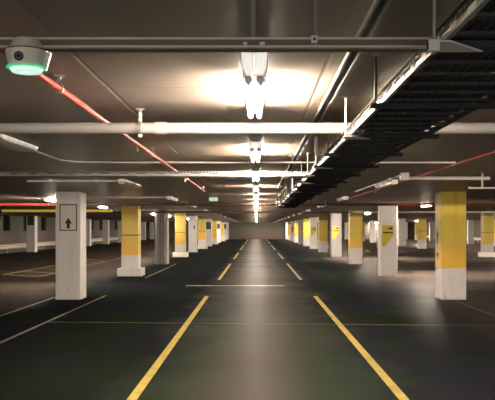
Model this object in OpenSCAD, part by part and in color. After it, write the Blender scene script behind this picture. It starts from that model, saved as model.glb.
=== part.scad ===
// One parking level of a multi storey car park as a 1:10 model, in millimetres.
// The frame's origin is at the centre of the underside, +Y runs down the aisle and +X to the right.

/* [Structure] */
// Length of one bay along the aisle
bay = 840; // [760:10:920]
// Bays from the open front to the end wall
bays = 13; // [6:1:14]
// Deck in front of the first column line
front_edge = 60; // [40:5:100]
// Clear height from the deck to the soffit
clear_h = 241; // [230:1:280]
// Thickness of the deck slab
deck_t = 30; // [20:1:40]
// Thickness of the slab overhead
roof_t = 30; // [20:1:40]
// Thickness of the perimeter walls
wall_t = 25; // [15:1:40]
// Clear way from the outer left columns to the left wall
left_edge = 62; // [30:2:120]
// Clear way from the outer right columns to the right wall
right_edge = 223; // [61:2:301]

/* [Columns] */
// Column width across the aisle
col_w = 56; // [40:1:70]
// Column depth along the aisle
col_d = 60; // [40:1:80]
// Chamfer on the column corners
col_bevel = 1.5; // [0.5:0.5:4]
// Aisle centre to the inner face of an aisle column
aisle_half = 403; // [381:2:431]
// Left aisle row to left outer row, centre to centre
left_bay_w = 1069; // [1001:2:1101]
// Spacing of the rows on the right, centre to centre
right_bay_w = 839; // [781:2:881]
// Plinth width beyond each column face
plinth_out = 12; // [6:1:20]
// Plinth height
plinth_h = 26; // [15:1:40]
// Radius of a downpipe on a column
downpipe_r = 5; // [3:0.5:8]

/* [Left wall] */
// Height of the solid wall under the vent slots
sill_h = 140; // [100:5:170]
// Width of a vent slot
vent_w = 120; // [40:2:200]
// Vent slots in one bay
slots_a_bay = 2; // [1:1:3]
// Slats in one louvre
slats = 6; // [3:1:10]
// Depth of a louvre slat
slat_d = 8; // [4:1:12]

/* [Guard rails] */
// Height of the rail's middle above the deck
rail_z = 42; // [35:1:55]
// Height of the pressed rail
rail_h = 31; // [24:1:36]
// Depth of the rail's waves
rail_d = 8; // [5:0.5:10]
// Sheet thickness of the rail
rail_t = 0.6; // [0.4:0.1:1]
// Clear distance from the wall to the rail's back
rail_gap = 6; // [4:0.5:12]
// Posts in one bay
posts_a_bay = 2; // [1:1:4]

/* [Pipes] */
// Outer radius of the drain pipe
drain_r = 3.8; // [2.5:0.1:5]
// Drain pipe centre below the soffit
drain_drop = 13; // [12.6:0.1:14]
// Drain pipe from the front edge
drain_y = 545; // [500:5:600]
// Radius of the left sprinkler pipe
sprinkler_r = 1.8; // [1:0.1:2]
// Radius of the right sprinkler pipe
sprinkler_small_r = 1.2; // [0.8:0.1:1.5]
// Left sprinkler pipe centre below the soffit
sprinkler_drop = 6.8; // [6.6:0.1:7.2]
// Right sprinkler pipe centre below the soffit
sprinkler_small_drop = 3.2; // [2:0.1:3.5]
// Aisle centre to the left sprinkler pipe
sprinkler_left_x = 115; // [105:1:150]
// Aisle centre to the right sprinkler pipe
sprinkler_right_x = 233; // [230:1:260]
// Radius of the sprinkler mains across the level
main_r = 4; // [3:0.1:4.3]
// Main pipe centre below the soffit
main_drop = 12.8; // [12.8:0.1:15]

/* [Cable trays] */
// Aisle centre to the main tray's left side
tray_x = 49.3; // [45:0.1:60]
// Width of the main tray
tray_w = 47; // [30:1:60]
// Underside of the trays below the soffit
tray_drop = 23.5; // [23:0.1:26]
// Height of a tray's side rail
tray_side = 6.1; // [4:0.1:6.2]
// Sheet thickness of the trays
tray_t = 0.4; // [0.3:0.05:0.8]
// Length of the main tray
tray_len = 2200; // [1200:10:3000]
// Spacing of the tray rungs
rung_pitch = 20; // [15:1:40]
// Spacing of the tray brackets
bracket_pitch = 118; // [110:1:120]
// Radius of the hanger rods
rod_r = 0.6; // [0.4:0.05:1]
// Second tray across the aisle, from the front edge
cross_y = 872; // [840:1:900]
// Width of the second tray
cross_w = 36; // [20:1:50]
// Length of the second tray
cross_len = 345; // [200:5:400]
// Spacing of the slots in a tray's sides
slot_pitch = 20; // [15:1:40]
// Sensor trunking from the front edge
trunk_y = 265; // [262:1:275]

/* [Lamps] */
// Length of a batten
batten_len = 181; // [181:1:200]
// Width of a batten
batten_w = 12; // [10:0.5:13]
// Height of a batten
batten_h = 5; // [4:0.5:6]
// Tube radius
tube_r = 1.3; // [0.8:0.1:1.5]
// Tube length
tube_len = 120; // [100:1:120]
// Batten's near end to the tubes
tube_start = 58; // [20:1:58]
// Spacing of the lamps over the aisle
lamp_pitch = 345; // [320:5:400]
// First lamp over the aisle from the front edge
lamp_first = 352; // [346:1:360]
// Spacing of the side battens and of the lamps over the left parking bays
side_pitch = 690; // [600:10:720]
// Aisle centre to the left side battens
side_left_x = 234; // [215:1:240]
// Aisle centre to the right side battens
side_right_x = 220; // [210:1:223]
// Aisle centre to the lamps over the parking bays
bay_lamp_x = 565; // [540:1:600]
// Aisle centre to the lamps between the two rows on the right
far_lamp_x = 1690; // [1650:1:1730]

/* [Sensor and signs] */
// Radius of the guidance sensor
sensor_r = 6.4; // [5:0.1:7]
// Aisle centre to the guidance sensor
sensor_x = 80.8; // [60:0.1:90]
// Width of the direction sign
sign_w = 43; // [30:1:50]
// Height of the direction sign
sign_h = 63; // [40:1:75]
// Foot of the direction sign above the deck
sign_z = 152; // [120:1:165]

/* [Hidden] */
$fn = 32;

// Play between a round piece and the clamp that holds it
play = 0.1;

// Rows of columns, by their centre lines
row_aisle = aisle_half + col_w / 2;
row_outer_left = -row_aisle - left_bay_w;
row_middle_right = row_aisle + right_bay_w;
row_outer_right = row_aisle + 2 * right_bay_w;

// Aisle centre to the inner face of each side wall
left_w = -row_outer_left + col_w / 2 + left_edge;
right_w = row_outer_right + col_w / 2 + right_edge;
inner_len = front_edge + bay * bays;
inner_w = left_w + right_w;
full_len = inner_len + wall_t;
full_w = inner_w + 2 * wall_t;
aisle_x = (left_w - right_w) / 2;

// Vent slots in the left wall
vent_pitch = bay / slots_a_bay;
vent_count = bays * slots_a_bay;
vent_first = front_edge + vent_pitch / 2;
louvre_back = 1;
louvre_inset = 2;
slat_share = 0.8;
// Every second column of the left aisle row has a plinth, from this one on
plinth_first = 3;
// The column of the left aisle row with downpipes, their count and their clear gap
downpipe_column = 4;
downpipes = 3;
downpipe_gap = 4;

// Lamps and battens
lamp_x = -10.8;
side_first = 609;
bay_first_left = 1992;
bay_first_right = 2502;
bay_pitch_right = 2 * side_pitch;
holder_t = 3;
holder_wall = 0.4;
tube_gap = 0.3;
holder_r = tube_r + tube_gap + holder_wall;
tube_x = 2.9;
batten_edge = 0.3 * batten_h;
batten_foot = 0.34 * batten_w;

// Pipes, with two mains in the bays between the column lines
sprinkler_left_len = 1580;
sprinkler_right_len = 2300;
main_y = front_edge + 2.6 * bay;
main_pitch = 1.3 * bay;
main_count = 2;
clamp_t = 0.7;
clamp_w = 2;
loop_h = 2.2;
hanger_pitch = 370;
hanger_first = 60;
hanger_margin = 50;
end_margin = 10;
drain_hanger_x = -89;
drain_hanger_pitch = 400;
drain_sockets = 7;
socket_len = 8;
socket_out = 0.6;
socket_shift = 30;
main_hanger_x = 190;
head_first = 250;
head_pitch = 450;
head_len = 4;
head_r = 0.7;
head_plate = 0.4;
head_plate_r = 1.6;
pvc_y = 700;
pvc_r = 1.6;
pvc_bend = 5;

// Main tray, its cables and its trapeze brackets
tray_lip = 1.4;
slot_len = 12;
slot_h = 2.2;
rung_w = 4;
rung_h = 1;
cable_r = 1.5;
cable_gap = 0.3;
cable_margin = 1;
cable_lift = 0.01;
cable_pitch = 2 * cable_r + cable_gap;
cable_count = floor((tray_w - 2 * cable_margin) / cable_pitch);
bracket_over = 6;
bracket_w = 4;
bracket_h = 2.2;
bracket_t = 0.5;
rod_out = 4;
bracket_first = 20;
bracket_count = floor((tray_len - bracket_first) / bracket_pitch) + 1;

// Cross tray and sensor trunking
cross_end = tray_x - tray_lip;
cross_h = 5;
cross_slot_h = 1.6;
cross_slot_len = 10;
cross_slot_rows = 3;
trunk_left = 152;
trunk_d = 7;
trunk_h = 3.1;
trunk_t = 0.5;
trunk_lip = 2;
trunk_slot = 2;
trunk_flange = 0.4;
trunk_post_x = -10.8;
trunk_post_r = 1.1;
trunk_rods = [-122, 9.2];
gusset_t = 0.5;
gusset_corner = 2;
gusset_in = 11.5;
gusset_d = 13.5;
gusset_first = 2;

// Strut channel, conduits, the junction box and the branch pipes
strut_x = 32;
strut_w = 5.6;
strut_h = 2.1;
strut_t = 0.4;
strut_lip = 1.1;
strut_len = 1600;
conduit_r = 1.1;
box_x = 202;
box_w = 12;
box_h = 10.5;
box_conduit_len = 560;
bend_gap = 0.2;
bend_drop = strut_h + conduit_r + bend_gap;
bend_r = 40;
bend_start = side_first + batten_len;
bend_y = 932;
bend_end = 226;
branch_y = 1155;
branch_r = 1.4;
branch_low = 22;
branch_first = 303;
branch_drops = [323, 344];
wide_branch_r = 2.7;
wide_branch_drop = 7.8;
wide_branch_len = 120;

// Guidance sensor
sensor_gap = 0.6;
sensor_base_up = 0.7;
sensor_base_h = 3.5;
sensor_body_h = 5;
sensor_flange_h = 0.5;
sensor_flange_r = 0.95 * sensor_r;
sensor_lens_h = 1.1;
sensor_foot_r = 0.86 * sensor_r;
sensor_crown_r = 0.62 * sensor_r;
sensor_neck_r = 0.84 * sensor_r;
sensor_lens_r = [0.7 * sensor_r, 0.78 * sensor_r];
sensor_arm_w = 3;
sensor_eye_r = 1.2;
sensor_eye_x = 0.35 * sensor_r;
sensor_eye_drop = 0.36 * sensor_body_h;

// Sign plates
plate_t = 1;
sign_column = 2;
sign_shift = 1;
exit_x = -132;
exit_y = 2010;
exit_w = 22;
exit_d = 4;
exit_h = 10;
exit_drop = 2;

// Yellow bar over the left parking bays, just before the second main
height_bar_x = -1100;
height_bar_len = 470;
height_bar_w = 10;
height_bar_drop = 2.5;
height_bar_ahead = 20;
height_bar_y = main_y + main_pitch - height_bar_ahead;
height_bar_rods = [0.1, 0.5, 0.9] * height_bar_len;

CONCRETE = "lightgray";
STEEL = "silver";
WHITE = "whitesmoke";
RED = "firebrick";
DARK = "darkslategray";

// Places what follows at the deck's front edge on the aisle's centre line
module on_deck() translate([aisle_x, -full_len / 2, deck_t]) children();

// Places what follows under the soffit, z running down as negative
module under_soffit() on_deck() translate([0, 0, clear_h]) children();

// Places at a pitch through an anchor, from a low to a high limit
function marks(anchor, pitch, low, high) =
    [for (k = [ceil((low - anchor) / pitch):floor((high - anchor) / pitch)]) anchor + k * pitch];

// Places of the hangers on a pipe that runs across the level, through an anchor
function cross_marks(anchor) =
    marks(anchor, drain_hanger_pitch, hanger_margin - left_w, right_w - hanger_margin);

// Round bar along Y or X
module bar_y(r, len) rotate([-90, 0, 0]) cylinder(r = r, h = len);
module bar_x(r, len) rotate([0, 90, 0]) cylinder(r = r, h = len);

// Rod that hangs from the soffit down to the depth
module rod(depth) translate([0, 0, -depth]) cylinder(r = rod_r, h = depth, $fn = 16);

// The slabs
module deck_slab() color("dimgray")
    translate([-full_w / 2, -full_len / 2, 0]) cube([full_w, full_len, deck_t]);

module soffit_slab() color(CONCRETE)
    translate([-full_w / 2, -full_len / 2, deck_t + clear_h]) cube([full_w, full_len, roof_t]);

// Column section with its four chamfers
module column_section() {
    x = col_w / 2;
    y = col_d / 2;
    b = col_bevel;
    polygon([
        [b - x, -y], [x - b, -y], [x, b - y], [x, y - b],
        [x - b, y], [b - x, y], [-x, y - b], [-x, b - y]
    ]);
}

// One row of columns at the aisle distance x
module column_row(x) on_deck() for (i = [0:bays - 1])
    translate([x, front_edge + i * bay + col_d / 2, 0]) linear_extrude(clear_h) column_section();

module columns_aisle_left() color(WHITE) column_row(-row_aisle);
module columns_aisle_right() color(WHITE) column_row(row_aisle);
module columns_outer_left() color(WHITE) column_row(row_outer_left);
module columns_middle_right() color(WHITE) column_row(row_middle_right);
module columns_outer_right() color(WHITE) column_row(row_outer_right);

// Plinth cast round every second column of the left aisle row
module column_plinths() color(WHITE) on_deck() for (i = [plinth_first:2:bays - 1])
    translate([-row_aisle, front_edge + i * bay + col_d / 2, 0]) difference() {
        translate([-col_w / 2 - plinth_out, -col_d / 2 - plinth_out, 0])
            cube([col_w + 2 * plinth_out, col_d + 2 * plinth_out, plinth_h]);
        translate([0, 0, -1]) linear_extrude(plinth_h + 2) column_section();
    }

// Downpipes on the front of the column that drains the deck above
module column_downpipes() color(CONCRETE) on_deck() for (k = [0:downpipes - 1])
    translate([-row_aisle + (k - (downpipes - 1) / 2) * (2 * downpipe_r + downpipe_gap),
            front_edge + downpipe_column * bay - downpipe_r, 0])
        cylinder(r = downpipe_r, h = clear_h);

// Left wall: a sill, piers between the vent slots, and a louvre in each slot
module left_wall_sill() color(CONCRETE) on_deck()
    translate([-left_w - wall_t, 0, 0]) cube([wall_t, full_len, sill_h]);

module left_wall_piers() color(CONCRETE) on_deck() for (i = [0:vent_count]) {
    start = i == 0 ? 0 : vent_first + (i - 1) * vent_pitch + vent_w / 2;
    end = i == vent_count ? full_len : vent_first + i * vent_pitch - vent_w / 2;
    translate([-left_w - wall_t, start, sill_h]) cube([wall_t, end - start, clear_h - sill_h]);
}

// Profile of a louvre: a back plate with slats that slope down outwards
module louvre_profile() {
    h = clear_h - sill_h;
    pitch = h / slats;
    b = louvre_back;
    slat = [[b, 0], [slat_d, 0], [b, slat_share * pitch]];
    polygon(concat([[0, 0]],
        [for (k = [0:slats - 1], p = slat) p + [0, k * pitch]],
        [[b, h], [0, h]]));
}

module left_wall_louvres() color(DARK) on_deck() for (i = [0:vent_count - 1])
    translate([-left_w - slat_d - louvre_inset, vent_first + i * vent_pitch + vent_w / 2, sill_h])
        rotate([90, 0, 0]) linear_extrude(vent_w) louvre_profile();

module right_wall() color(CONCRETE) on_deck()
    translate([right_w, 0, 0]) cube([wall_t, full_len, clear_h]);

module end_wall() color(CONCRETE) on_deck()
    translate([-left_w, inner_len, 0]) cube([inner_w, wall_t, clear_h]);

// Pressed guard rail with two waves, its back towards the wall
module rail_profile() {
    h = rail_h / 2;
    crest = rail_d;
    trough = rail_d * 0.15;
    outer = [
        [0, -h], [crest, -h * 0.72], [crest, -h * 0.42], [trough, -h * 0.12],
        [trough, h * 0.12], [crest, h * 0.42], [crest, h * 0.72], [0, h]
    ];
    polygon(concat(
        [for (p = outer) [p[0] + rail_t, p[1]]],
        [for (k = [len(outer) - 1:-1:0]) outer[k]]));
}

module guard_rail(side) on_deck()
    translate([side > 0 ? right_w - rail_gap : -left_w + rail_gap, inner_len, rail_z])
        rotate([90, 0, 0]) linear_extrude(inner_len) mirror([side > 0 ? 1 : 0, 0, 0]) rail_profile();

module guard_rail_left() color(STEEL) guard_rail(-1);
module guard_rail_right() color(STEEL) guard_rail(1);

// Posts between the rail and the wall
module rail_posts() color(STEEL) on_deck()
    for (i = [0:bays * posts_a_bay - 1], x = [-left_w, right_w - rail_gap])
        translate([x, front_edge + (i + 0.5) * bay / posts_a_bay, 0])
            cube([rail_gap, rail_gap, rail_z + rail_h / 2]);

// Drain pipe across the level, its lengths joined in sockets
module drain_pipe() color(WHITE) under_soffit() translate([-left_w, drain_y, -drain_drop]) {
    bar_x(drain_r, inner_w);
    for (k = [1:drain_sockets])
        translate([k * inner_w / (drain_sockets + 1) + socket_shift, 0, 0])
            bar_x(drain_r + socket_out, socket_len);
}

// Split clamp and rod over a pipe that runs along X
module pipe_hanger_x(r, drop) {
    translate([-clamp_w / 2, 0, -drop]) difference() {
        bar_x(r + play + clamp_t, clamp_w);
        translate([-1, 0, 0]) bar_x(r + play, clamp_w + 2);
    }
    rod(drop - r - play - clamp_t / 2);
}

module drain_hangers() color(STEEL) under_soffit()
    for (x = cross_marks(drain_hanger_x)) translate([x, drain_y, 0]) pipe_hanger_x(drain_r, drain_drop);

// Sprinkler pipes along the level, and the mains across it in the bays between the column lines
module sprinkler_pipe_left() color(RED) under_soffit()
    translate([-sprinkler_left_x, 0, -sprinkler_drop]) bar_y(sprinkler_r, sprinkler_left_len);

module sprinkler_pipe_right() color(RED) under_soffit()
    translate([sprinkler_right_x, 0, -sprinkler_small_drop])
        bar_y(sprinkler_small_r, sprinkler_right_len);

module sprinkler_main() color(RED) under_soffit() for (k = [0:main_count - 1])
    translate([-left_w, main_y + k * main_pitch, -main_drop]) bar_x(main_r, inner_w);

// Outline of a loop: a circle and the two tangents that meet at the height
module loop_outline(r, height) {
    a = asin(r / height);
    circle(r);
    polygon([[r * cos(a), r * sin(a)], [0, height], [-r * cos(a), r * sin(a)]]);
}

// Pear-shaped loop on a rod, for a pipe that runs along Y
module pipe_hanger_y(r, drop) {
    inner = r + play;
    outer = inner + clamp_t;
    translate([0, clamp_w / 2, -drop]) rotate([90, 0, 0]) linear_extrude(clamp_w) difference() {
        loop_outline(outer, loop_h * outer);
        loop_outline(inner, loop_h * inner);
    }
    rod(drop - loop_h * inner);
}

module sprinkler_hangers() color(STEEL) under_soffit() {
    for (y = marks(hanger_first, hanger_pitch, 0, sprinkler_left_len - end_margin))
        translate([-sprinkler_left_x, y, 0]) pipe_hanger_y(sprinkler_r, sprinkler_drop);
    for (y = marks(hanger_first, hanger_pitch, 0, sprinkler_right_len - end_margin))
        translate([sprinkler_right_x, y, 0])
            rotate(90) pipe_hanger_x(sprinkler_small_r, sprinkler_small_drop);
    for (k = [0:main_count - 1], x = cross_marks(main_hanger_x))
        translate([x, main_y + k * main_pitch, 0]) pipe_hanger_x(main_r, main_drop);
}

// Drop with a deflector plate, under a pipe whose underside is at the depth
module sprinkler_head(depth) {
    translate([0, 0, -depth - head_len]) cylinder(r = head_r, h = head_len);
    translate([0, 0, -depth - head_len - head_plate]) cylinder(r = head_plate_r, h = head_plate);
}

module sprinkler_heads() color("gold") under_soffit() {
    for (y = marks(head_first, head_pitch, 0, sprinkler_left_len - end_margin))
        translate([-sprinkler_left_x, y, 0]) sprinkler_head(sprinkler_drop + sprinkler_r);
    for (y = marks(head_first, head_pitch, 0, sprinkler_right_len - end_margin))
        translate([sprinkler_right_x, y, 0]) sprinkler_head(sprinkler_small_drop + sprinkler_small_r);
}

// Tray side: a channel with its lips turned outwards, and a row of slots through its web
module tray_rail_section() polygon([
    [0, 0], [tray_lip, 0], [tray_lip, tray_t], [tray_t, tray_t], [tray_t, tray_side - tray_t],
    [tray_lip, tray_side - tray_t], [tray_lip, tray_side], [0, tray_side]
]);
module tray_rail() translate([0, tray_len, 0]) rotate([90, 0, 0]) linear_extrude(tray_len) children();

module main_tray() color(STEEL) under_soffit() translate([tray_x, 0, -tray_drop]) {
    difference() {
        union() {
            tray_rail() mirror([1, 0]) tray_rail_section();
            translate([tray_w, 0, 0]) tray_rail() tray_rail_section();
        }
        for (k = [1:floor(tray_len / slot_pitch) - 1])
            translate([-tray_t - 1, k * slot_pitch - slot_len / 2, (tray_side - slot_h) / 2])
                cube([tray_w + 2 * tray_t + 2, slot_len, slot_h]);
    }
    for (k = [0:floor(tray_len / rung_pitch) - 1])
        translate([-tray_t / 2, (k + 0.5) * rung_pitch, tray_t]) cube([tray_w + tray_t, rung_w, rung_h]);
}

// Cables side by side on the rungs
module tray_cables() color("black") under_soffit() for (k = [0:cable_count - 1])
    translate([tray_x + cable_margin + cable_r + k * cable_pitch, 0,
            -tray_drop + tray_t + rung_h + cable_r + cable_lift])
        bar_y(cable_r, tray_len);

// Trapeze brackets under the main tray, each hung on two rods
module tray_brackets() color(STEEL) under_soffit() for (k = [0:bracket_count - 1])
    translate([tray_x - bracket_over, bracket_first + k * bracket_pitch, -tray_drop - bracket_h])
        difference() {
            cube([tray_w + 2 * bracket_over, bracket_w, bracket_h]);
            translate([-1, bracket_t, -bracket_t])
                cube([tray_w + 2 * bracket_over + 2, bracket_w - 2 * bracket_t, bracket_h]);
        }

module tray_rods() color(STEEL) under_soffit()
    for (k = [0:bracket_count - 1], x = [-rod_out, tray_w + rod_out])
        translate([tray_x + x, bracket_first + k * bracket_pitch + bracket_w / 2, 0]) rod(tray_drop);

// Second tray, perforated, across the aisle into the main tray's side
module cross_tray() color(STEEL) under_soffit()
    translate([cross_end - cross_len, cross_y, -tray_drop]) difference() {
        cube([cross_len, cross_w, cross_h]);
        translate([-1, tray_t, tray_t]) cube([cross_len + 2, cross_w - 2 * tray_t, cross_h]);
        for (k = [1:floor(cross_len / slot_pitch) - 1])
            translate([k * slot_pitch - cross_slot_len / 2, 0, 0]) cross_slots();
    }

// Slots at one place of the second tray: one through both sides, the others through the floor
module cross_slots() {
    translate([0, -1, (cross_h - cross_slot_h) / 2]) cube([cross_slot_len, cross_w + 2, cross_slot_h]);
    for (j = [1:cross_slot_rows])
        translate([0, (j * cross_w - cross_slot_h) / (cross_slot_rows + 1), -1])
            cube([cross_slot_len, cross_slot_h, tray_t + 2]);
}

// Section of a channel with two lips round a slot in its underside
module lipped_channel(width, height, sheet, lip, slot) difference() {
    square([width, height]);
    translate([sheet, sheet]) square([width - 2 * sheet, height - 2 * sheet]);
    translate([lip, -1]) square([slot, sheet + 2]);
}

// Trunking across the aisle that carries the guidance sensor, a flange along its top
module sensor_trunking() color(STEEL) under_soffit() {
    translate([-trunk_left, trunk_y, -tray_drop])
        rotate([90, 0, 90]) linear_extrude(trunk_left + cross_end) {
            lipped_channel(trunk_d, trunk_h, trunk_t, trunk_lip, trunk_slot);
            translate([-trunk_flange, trunk_h - trunk_t]) square([trunk_d + 2 * trunk_flange, trunk_t]);
        }
    translate([0, trunk_y + trunk_d / 2, 0]) {
        for (x = trunk_rods) translate([x, 0, 0]) rod(tray_drop - trunk_h);
        translate([trunk_post_x, 0, trunk_h - tray_drop])
            cylinder(r = trunk_post_r, h = tray_drop - trunk_h);
    }
}

// Plates with one slanted edge, under the left end of every second tray bracket
module gusset_plates() color(WHITE) under_soffit() for (k = [gusset_first:2:bracket_count - 1])
    translate([tray_x, bracket_first + k * bracket_pitch + bracket_w, -tray_drop - bracket_h - gusset_t])
        linear_extrude(gusset_t) polygon([
            [-bracket_over, -gusset_d], [-gusset_corner, -gusset_d], [gusset_in, 0], [-bracket_over, 0]
        ]);

// Strut channel on the soffit, a conduit and its junction box
module conduits() color(STEEL) under_soffit() {
    translate([strut_x, strut_len, -strut_h]) rotate([90, 0, 0]) linear_extrude(strut_len)
        lipped_channel(strut_w, strut_h, strut_t, strut_lip, strut_w - 2 * strut_lip);
    translate([box_x + box_w / 2, branch_y + box_w / 2, -conduit_r]) bar_y(conduit_r, box_conduit_len);
    translate([box_x, branch_y - box_w / 2, -box_h]) cube([box_w, box_w, box_h]);
}

// Conduit from the end of a side batten that bends across the aisle, under the strut channel
module bent_conduit() color(STEEL) under_soffit() translate([-side_left_x, 0, -bend_drop]) {
    translate([0, bend_start, 0]) bar_y(conduit_r, bend_y - bend_r - bend_start);
    translate([bend_r, bend_y - bend_r, 0]) rotate(90) rotate_extrude(angle = 90)
        translate([bend_r, 0]) circle(r = conduit_r);
    translate([bend_r, bend_y, 0]) bar_x(conduit_r, side_left_x + bend_end - bend_r);
}

// Plastic pipe that drops from the soffit and turns into the main tray's side
module pvc_drop() color(WHITE) under_soffit()
    translate([cross_end, pvc_y, pvc_bend - tray_drop + tray_side]) {
        translate([-pvc_bend, 0, 0]) cylinder(r = pvc_r, h = tray_drop - tray_side - pvc_bend);
        rotate([90, 0, 0]) rotate(180) rotate_extrude(angle = 90)
            translate([pvc_bend, 0]) circle(r = pvc_r);
    }

// Wide pipe from the junction box, and two drops to a low pipe that ends at the column
module branch_pipes() color(STEEL) under_soffit() {
    translate([box_x + box_w, branch_y, -wide_branch_drop]) bar_x(wide_branch_r, wide_branch_len);
    for (x = branch_drops) translate([x, branch_y, -branch_low]) cylinder(r = branch_r, h = branch_low);
    translate([branch_first, branch_y, -branch_low]) bar_x(branch_r, aisle_half - branch_first);
}

// Batten spine with sloping sides, and a round holder at each end of a tube
module batten(holders) {
    rotate([90, 0, 0]) translate([0, 0, -batten_len]) linear_extrude(batten_len)
        polygon([
            [-batten_w / 2, 0], [-batten_w / 2, -batten_edge], [-batten_foot, -batten_h],
            [batten_foot, -batten_h], [batten_w / 2, -batten_edge], [batten_w / 2, 0]
        ]);
    if (holders) for (y = [tube_start - holder_t, tube_start + tube_len])
        at_tubes(y) bar_y(holder_r, holder_t);
}

// Places at the centres of the two tubes
module at_tubes(y) for (x = [-tube_x, tube_x]) translate([x, y, -batten_h - tube_r - tube_gap]) children();

module tubes() at_tubes(tube_start) bar_y(tube_r, tube_len);

// A row of lamps along the level, from the first one to the last that fits before the end wall
module lamp_row(first, pitch, x) under_soffit()
    for (k = [0:floor((inner_len - first - batten_len) / pitch)])
        translate([x, first + k * pitch, 0]) children();

module lamp_bodies() color(WHITE) lamp_row(lamp_first, lamp_pitch, lamp_x) batten(true);
module lamp_tubes() color("ivory") lamp_row(lamp_first, lamp_pitch, lamp_x) tubes();

module side_battens() color(WHITE) {
    lamp_row(side_first, side_pitch, -side_left_x) batten(false);
    lamp_row(side_first + side_pitch, side_pitch, side_right_x) batten(false);
}

// Lamps over the parking bays, in one row on the left and two on the right
module bay_lamps() {
    lamp_row(bay_first_left, side_pitch, -bay_lamp_x) children();
    for (x = [bay_lamp_x, far_lamp_x]) lamp_row(bay_first_right, bay_pitch_right, x) children();
}

module bay_lamp_bodies() color(WHITE) bay_lamps() batten(true);
module bay_lamp_tubes() color("ivory") bay_lamps() tubes();

// Guidance sensor on the near side of the trunking: base, body and light ring, one under the other
module at_sensor() under_soffit()
    translate([-sensor_x, trunk_y - sensor_r - sensor_gap, sensor_base_up - tray_drop]) children();

module sensor_base() color("gainsboro") at_sensor() {
    translate([0, 0, -sensor_base_h])
        cylinder(r1 = sensor_foot_r, r2 = sensor_crown_r, h = sensor_base_h);
    translate([-sensor_arm_w / 2, 0, -2 * sensor_base_up])
        cube([sensor_arm_w, sensor_r + sensor_gap, 2 * sensor_base_up]);
}

module sensor_body() color("darkgray") at_sensor() difference() {
    translate([0, 0, -sensor_base_h - sensor_body_h])
        cylinder(r1 = sensor_neck_r, r2 = sensor_r, h = sensor_body_h);
    translate([-sensor_eye_x, -sensor_r - 1, -sensor_base_h - sensor_eye_drop])
        bar_y(sensor_eye_r, 2 * sensor_eye_r);
}

// Light ring: a flange and the lens below it
module sensor_ring() color("springgreen") at_sensor() {
    top = sensor_base_h + sensor_body_h;
    translate([0, 0, -top - sensor_flange_h]) cylinder(r = sensor_flange_r, h = sensor_flange_h);
    translate([0, 0, -top - sensor_flange_h - sensor_lens_h])
        cylinder(r1 = sensor_lens_r[0], r2 = sensor_lens_r[1], h = sensor_lens_h);
}

// Sign plates on the columns
module direction_sign() color(WHITE) on_deck()
    translate([-row_aisle - sign_w / 2 + sign_shift, front_edge + sign_column * bay - plate_t, sign_z])
        cube([sign_w, plate_t, sign_h]);

module exit_sign() color("green") under_soffit() translate([exit_x, exit_y, -exit_h - exit_drop]) {
    cube([exit_w, exit_d, exit_h]);
    translate([exit_w / 2, exit_d / 2, 0]) cylinder(r = rod_r, h = exit_h + exit_drop);
}

// Yellow bar that warns of the headroom over the left parking bays
module height_bar() color("gold") under_soffit() translate([height_bar_x, height_bar_y, 0]) {
    translate([0, 0, -height_bar_drop - height_bar_w])
        cube([height_bar_len, height_bar_w, height_bar_w]);
    for (x = height_bar_rods)
        translate([x, height_bar_w / 2, 0]) rod(height_bar_drop);
}

deck_slab();
soffit_slab();
columns_aisle_left();
columns_aisle_right();
columns_outer_left();
columns_middle_right();
columns_outer_right();
column_plinths();
column_downpipes();
left_wall_sill();
left_wall_piers();
left_wall_louvres();
right_wall();
end_wall();
guard_rail_left();
guard_rail_right();
rail_posts();
drain_pipe();
drain_hangers();
sprinkler_pipe_left();
sprinkler_pipe_right();
sprinkler_main();
sprinkler_hangers();
sprinkler_heads();
main_tray();
tray_cables();
tray_brackets();
tray_rods();
cross_tray();
sensor_trunking();
gusset_plates();
conduits();
bent_conduit();
pvc_drop();
branch_pipes();
lamp_bodies();
lamp_tubes();
side_battens();
bay_lamp_bodies();
bay_lamp_tubes();
sensor_base();
sensor_body();
sensor_ring();
direction_sign();
exit_sign();
height_bar();
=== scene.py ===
"""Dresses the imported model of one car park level: finishes, lit lamps, painted lines, signs and fixings.

The camera stands a little left of the aisle's middle, at eye height, and looks straight down it.
"""

import math

import bmesh
import bpy
from bpy.props import FloatProperty, FloatVectorProperty, PointerProperty
from mathutils import Matrix, Vector


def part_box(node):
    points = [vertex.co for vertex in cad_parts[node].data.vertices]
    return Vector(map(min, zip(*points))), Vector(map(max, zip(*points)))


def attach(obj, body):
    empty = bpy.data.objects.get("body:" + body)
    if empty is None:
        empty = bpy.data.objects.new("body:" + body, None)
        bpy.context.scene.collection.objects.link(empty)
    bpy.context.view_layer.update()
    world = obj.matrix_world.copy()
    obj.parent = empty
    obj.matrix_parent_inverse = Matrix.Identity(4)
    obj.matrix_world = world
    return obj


bl_info = {
    "name": "Car park level",
    "version": (1, 0, 0),
    "blender": (4, 5, 0),
    "location": "3D View > Sidebar > Car park",
    "description": "Dresses one level of a multi storey car park",
    "category": "Object",
}

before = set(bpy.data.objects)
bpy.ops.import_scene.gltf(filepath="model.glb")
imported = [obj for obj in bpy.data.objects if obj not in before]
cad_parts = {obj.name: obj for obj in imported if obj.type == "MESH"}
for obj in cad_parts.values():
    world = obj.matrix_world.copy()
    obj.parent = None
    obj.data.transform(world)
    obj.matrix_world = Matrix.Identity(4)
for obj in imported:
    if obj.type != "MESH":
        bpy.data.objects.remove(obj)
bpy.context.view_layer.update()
SCALE = 0.1  # metres of the model for one real metre


def real(metres):
    """A length of the real level, in metres of the model."""
    return metres * SCALE


def reals(*metres):
    """Several lengths of the real level, in metres of the model."""
    return tuple(real(length) for length in metres)


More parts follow.
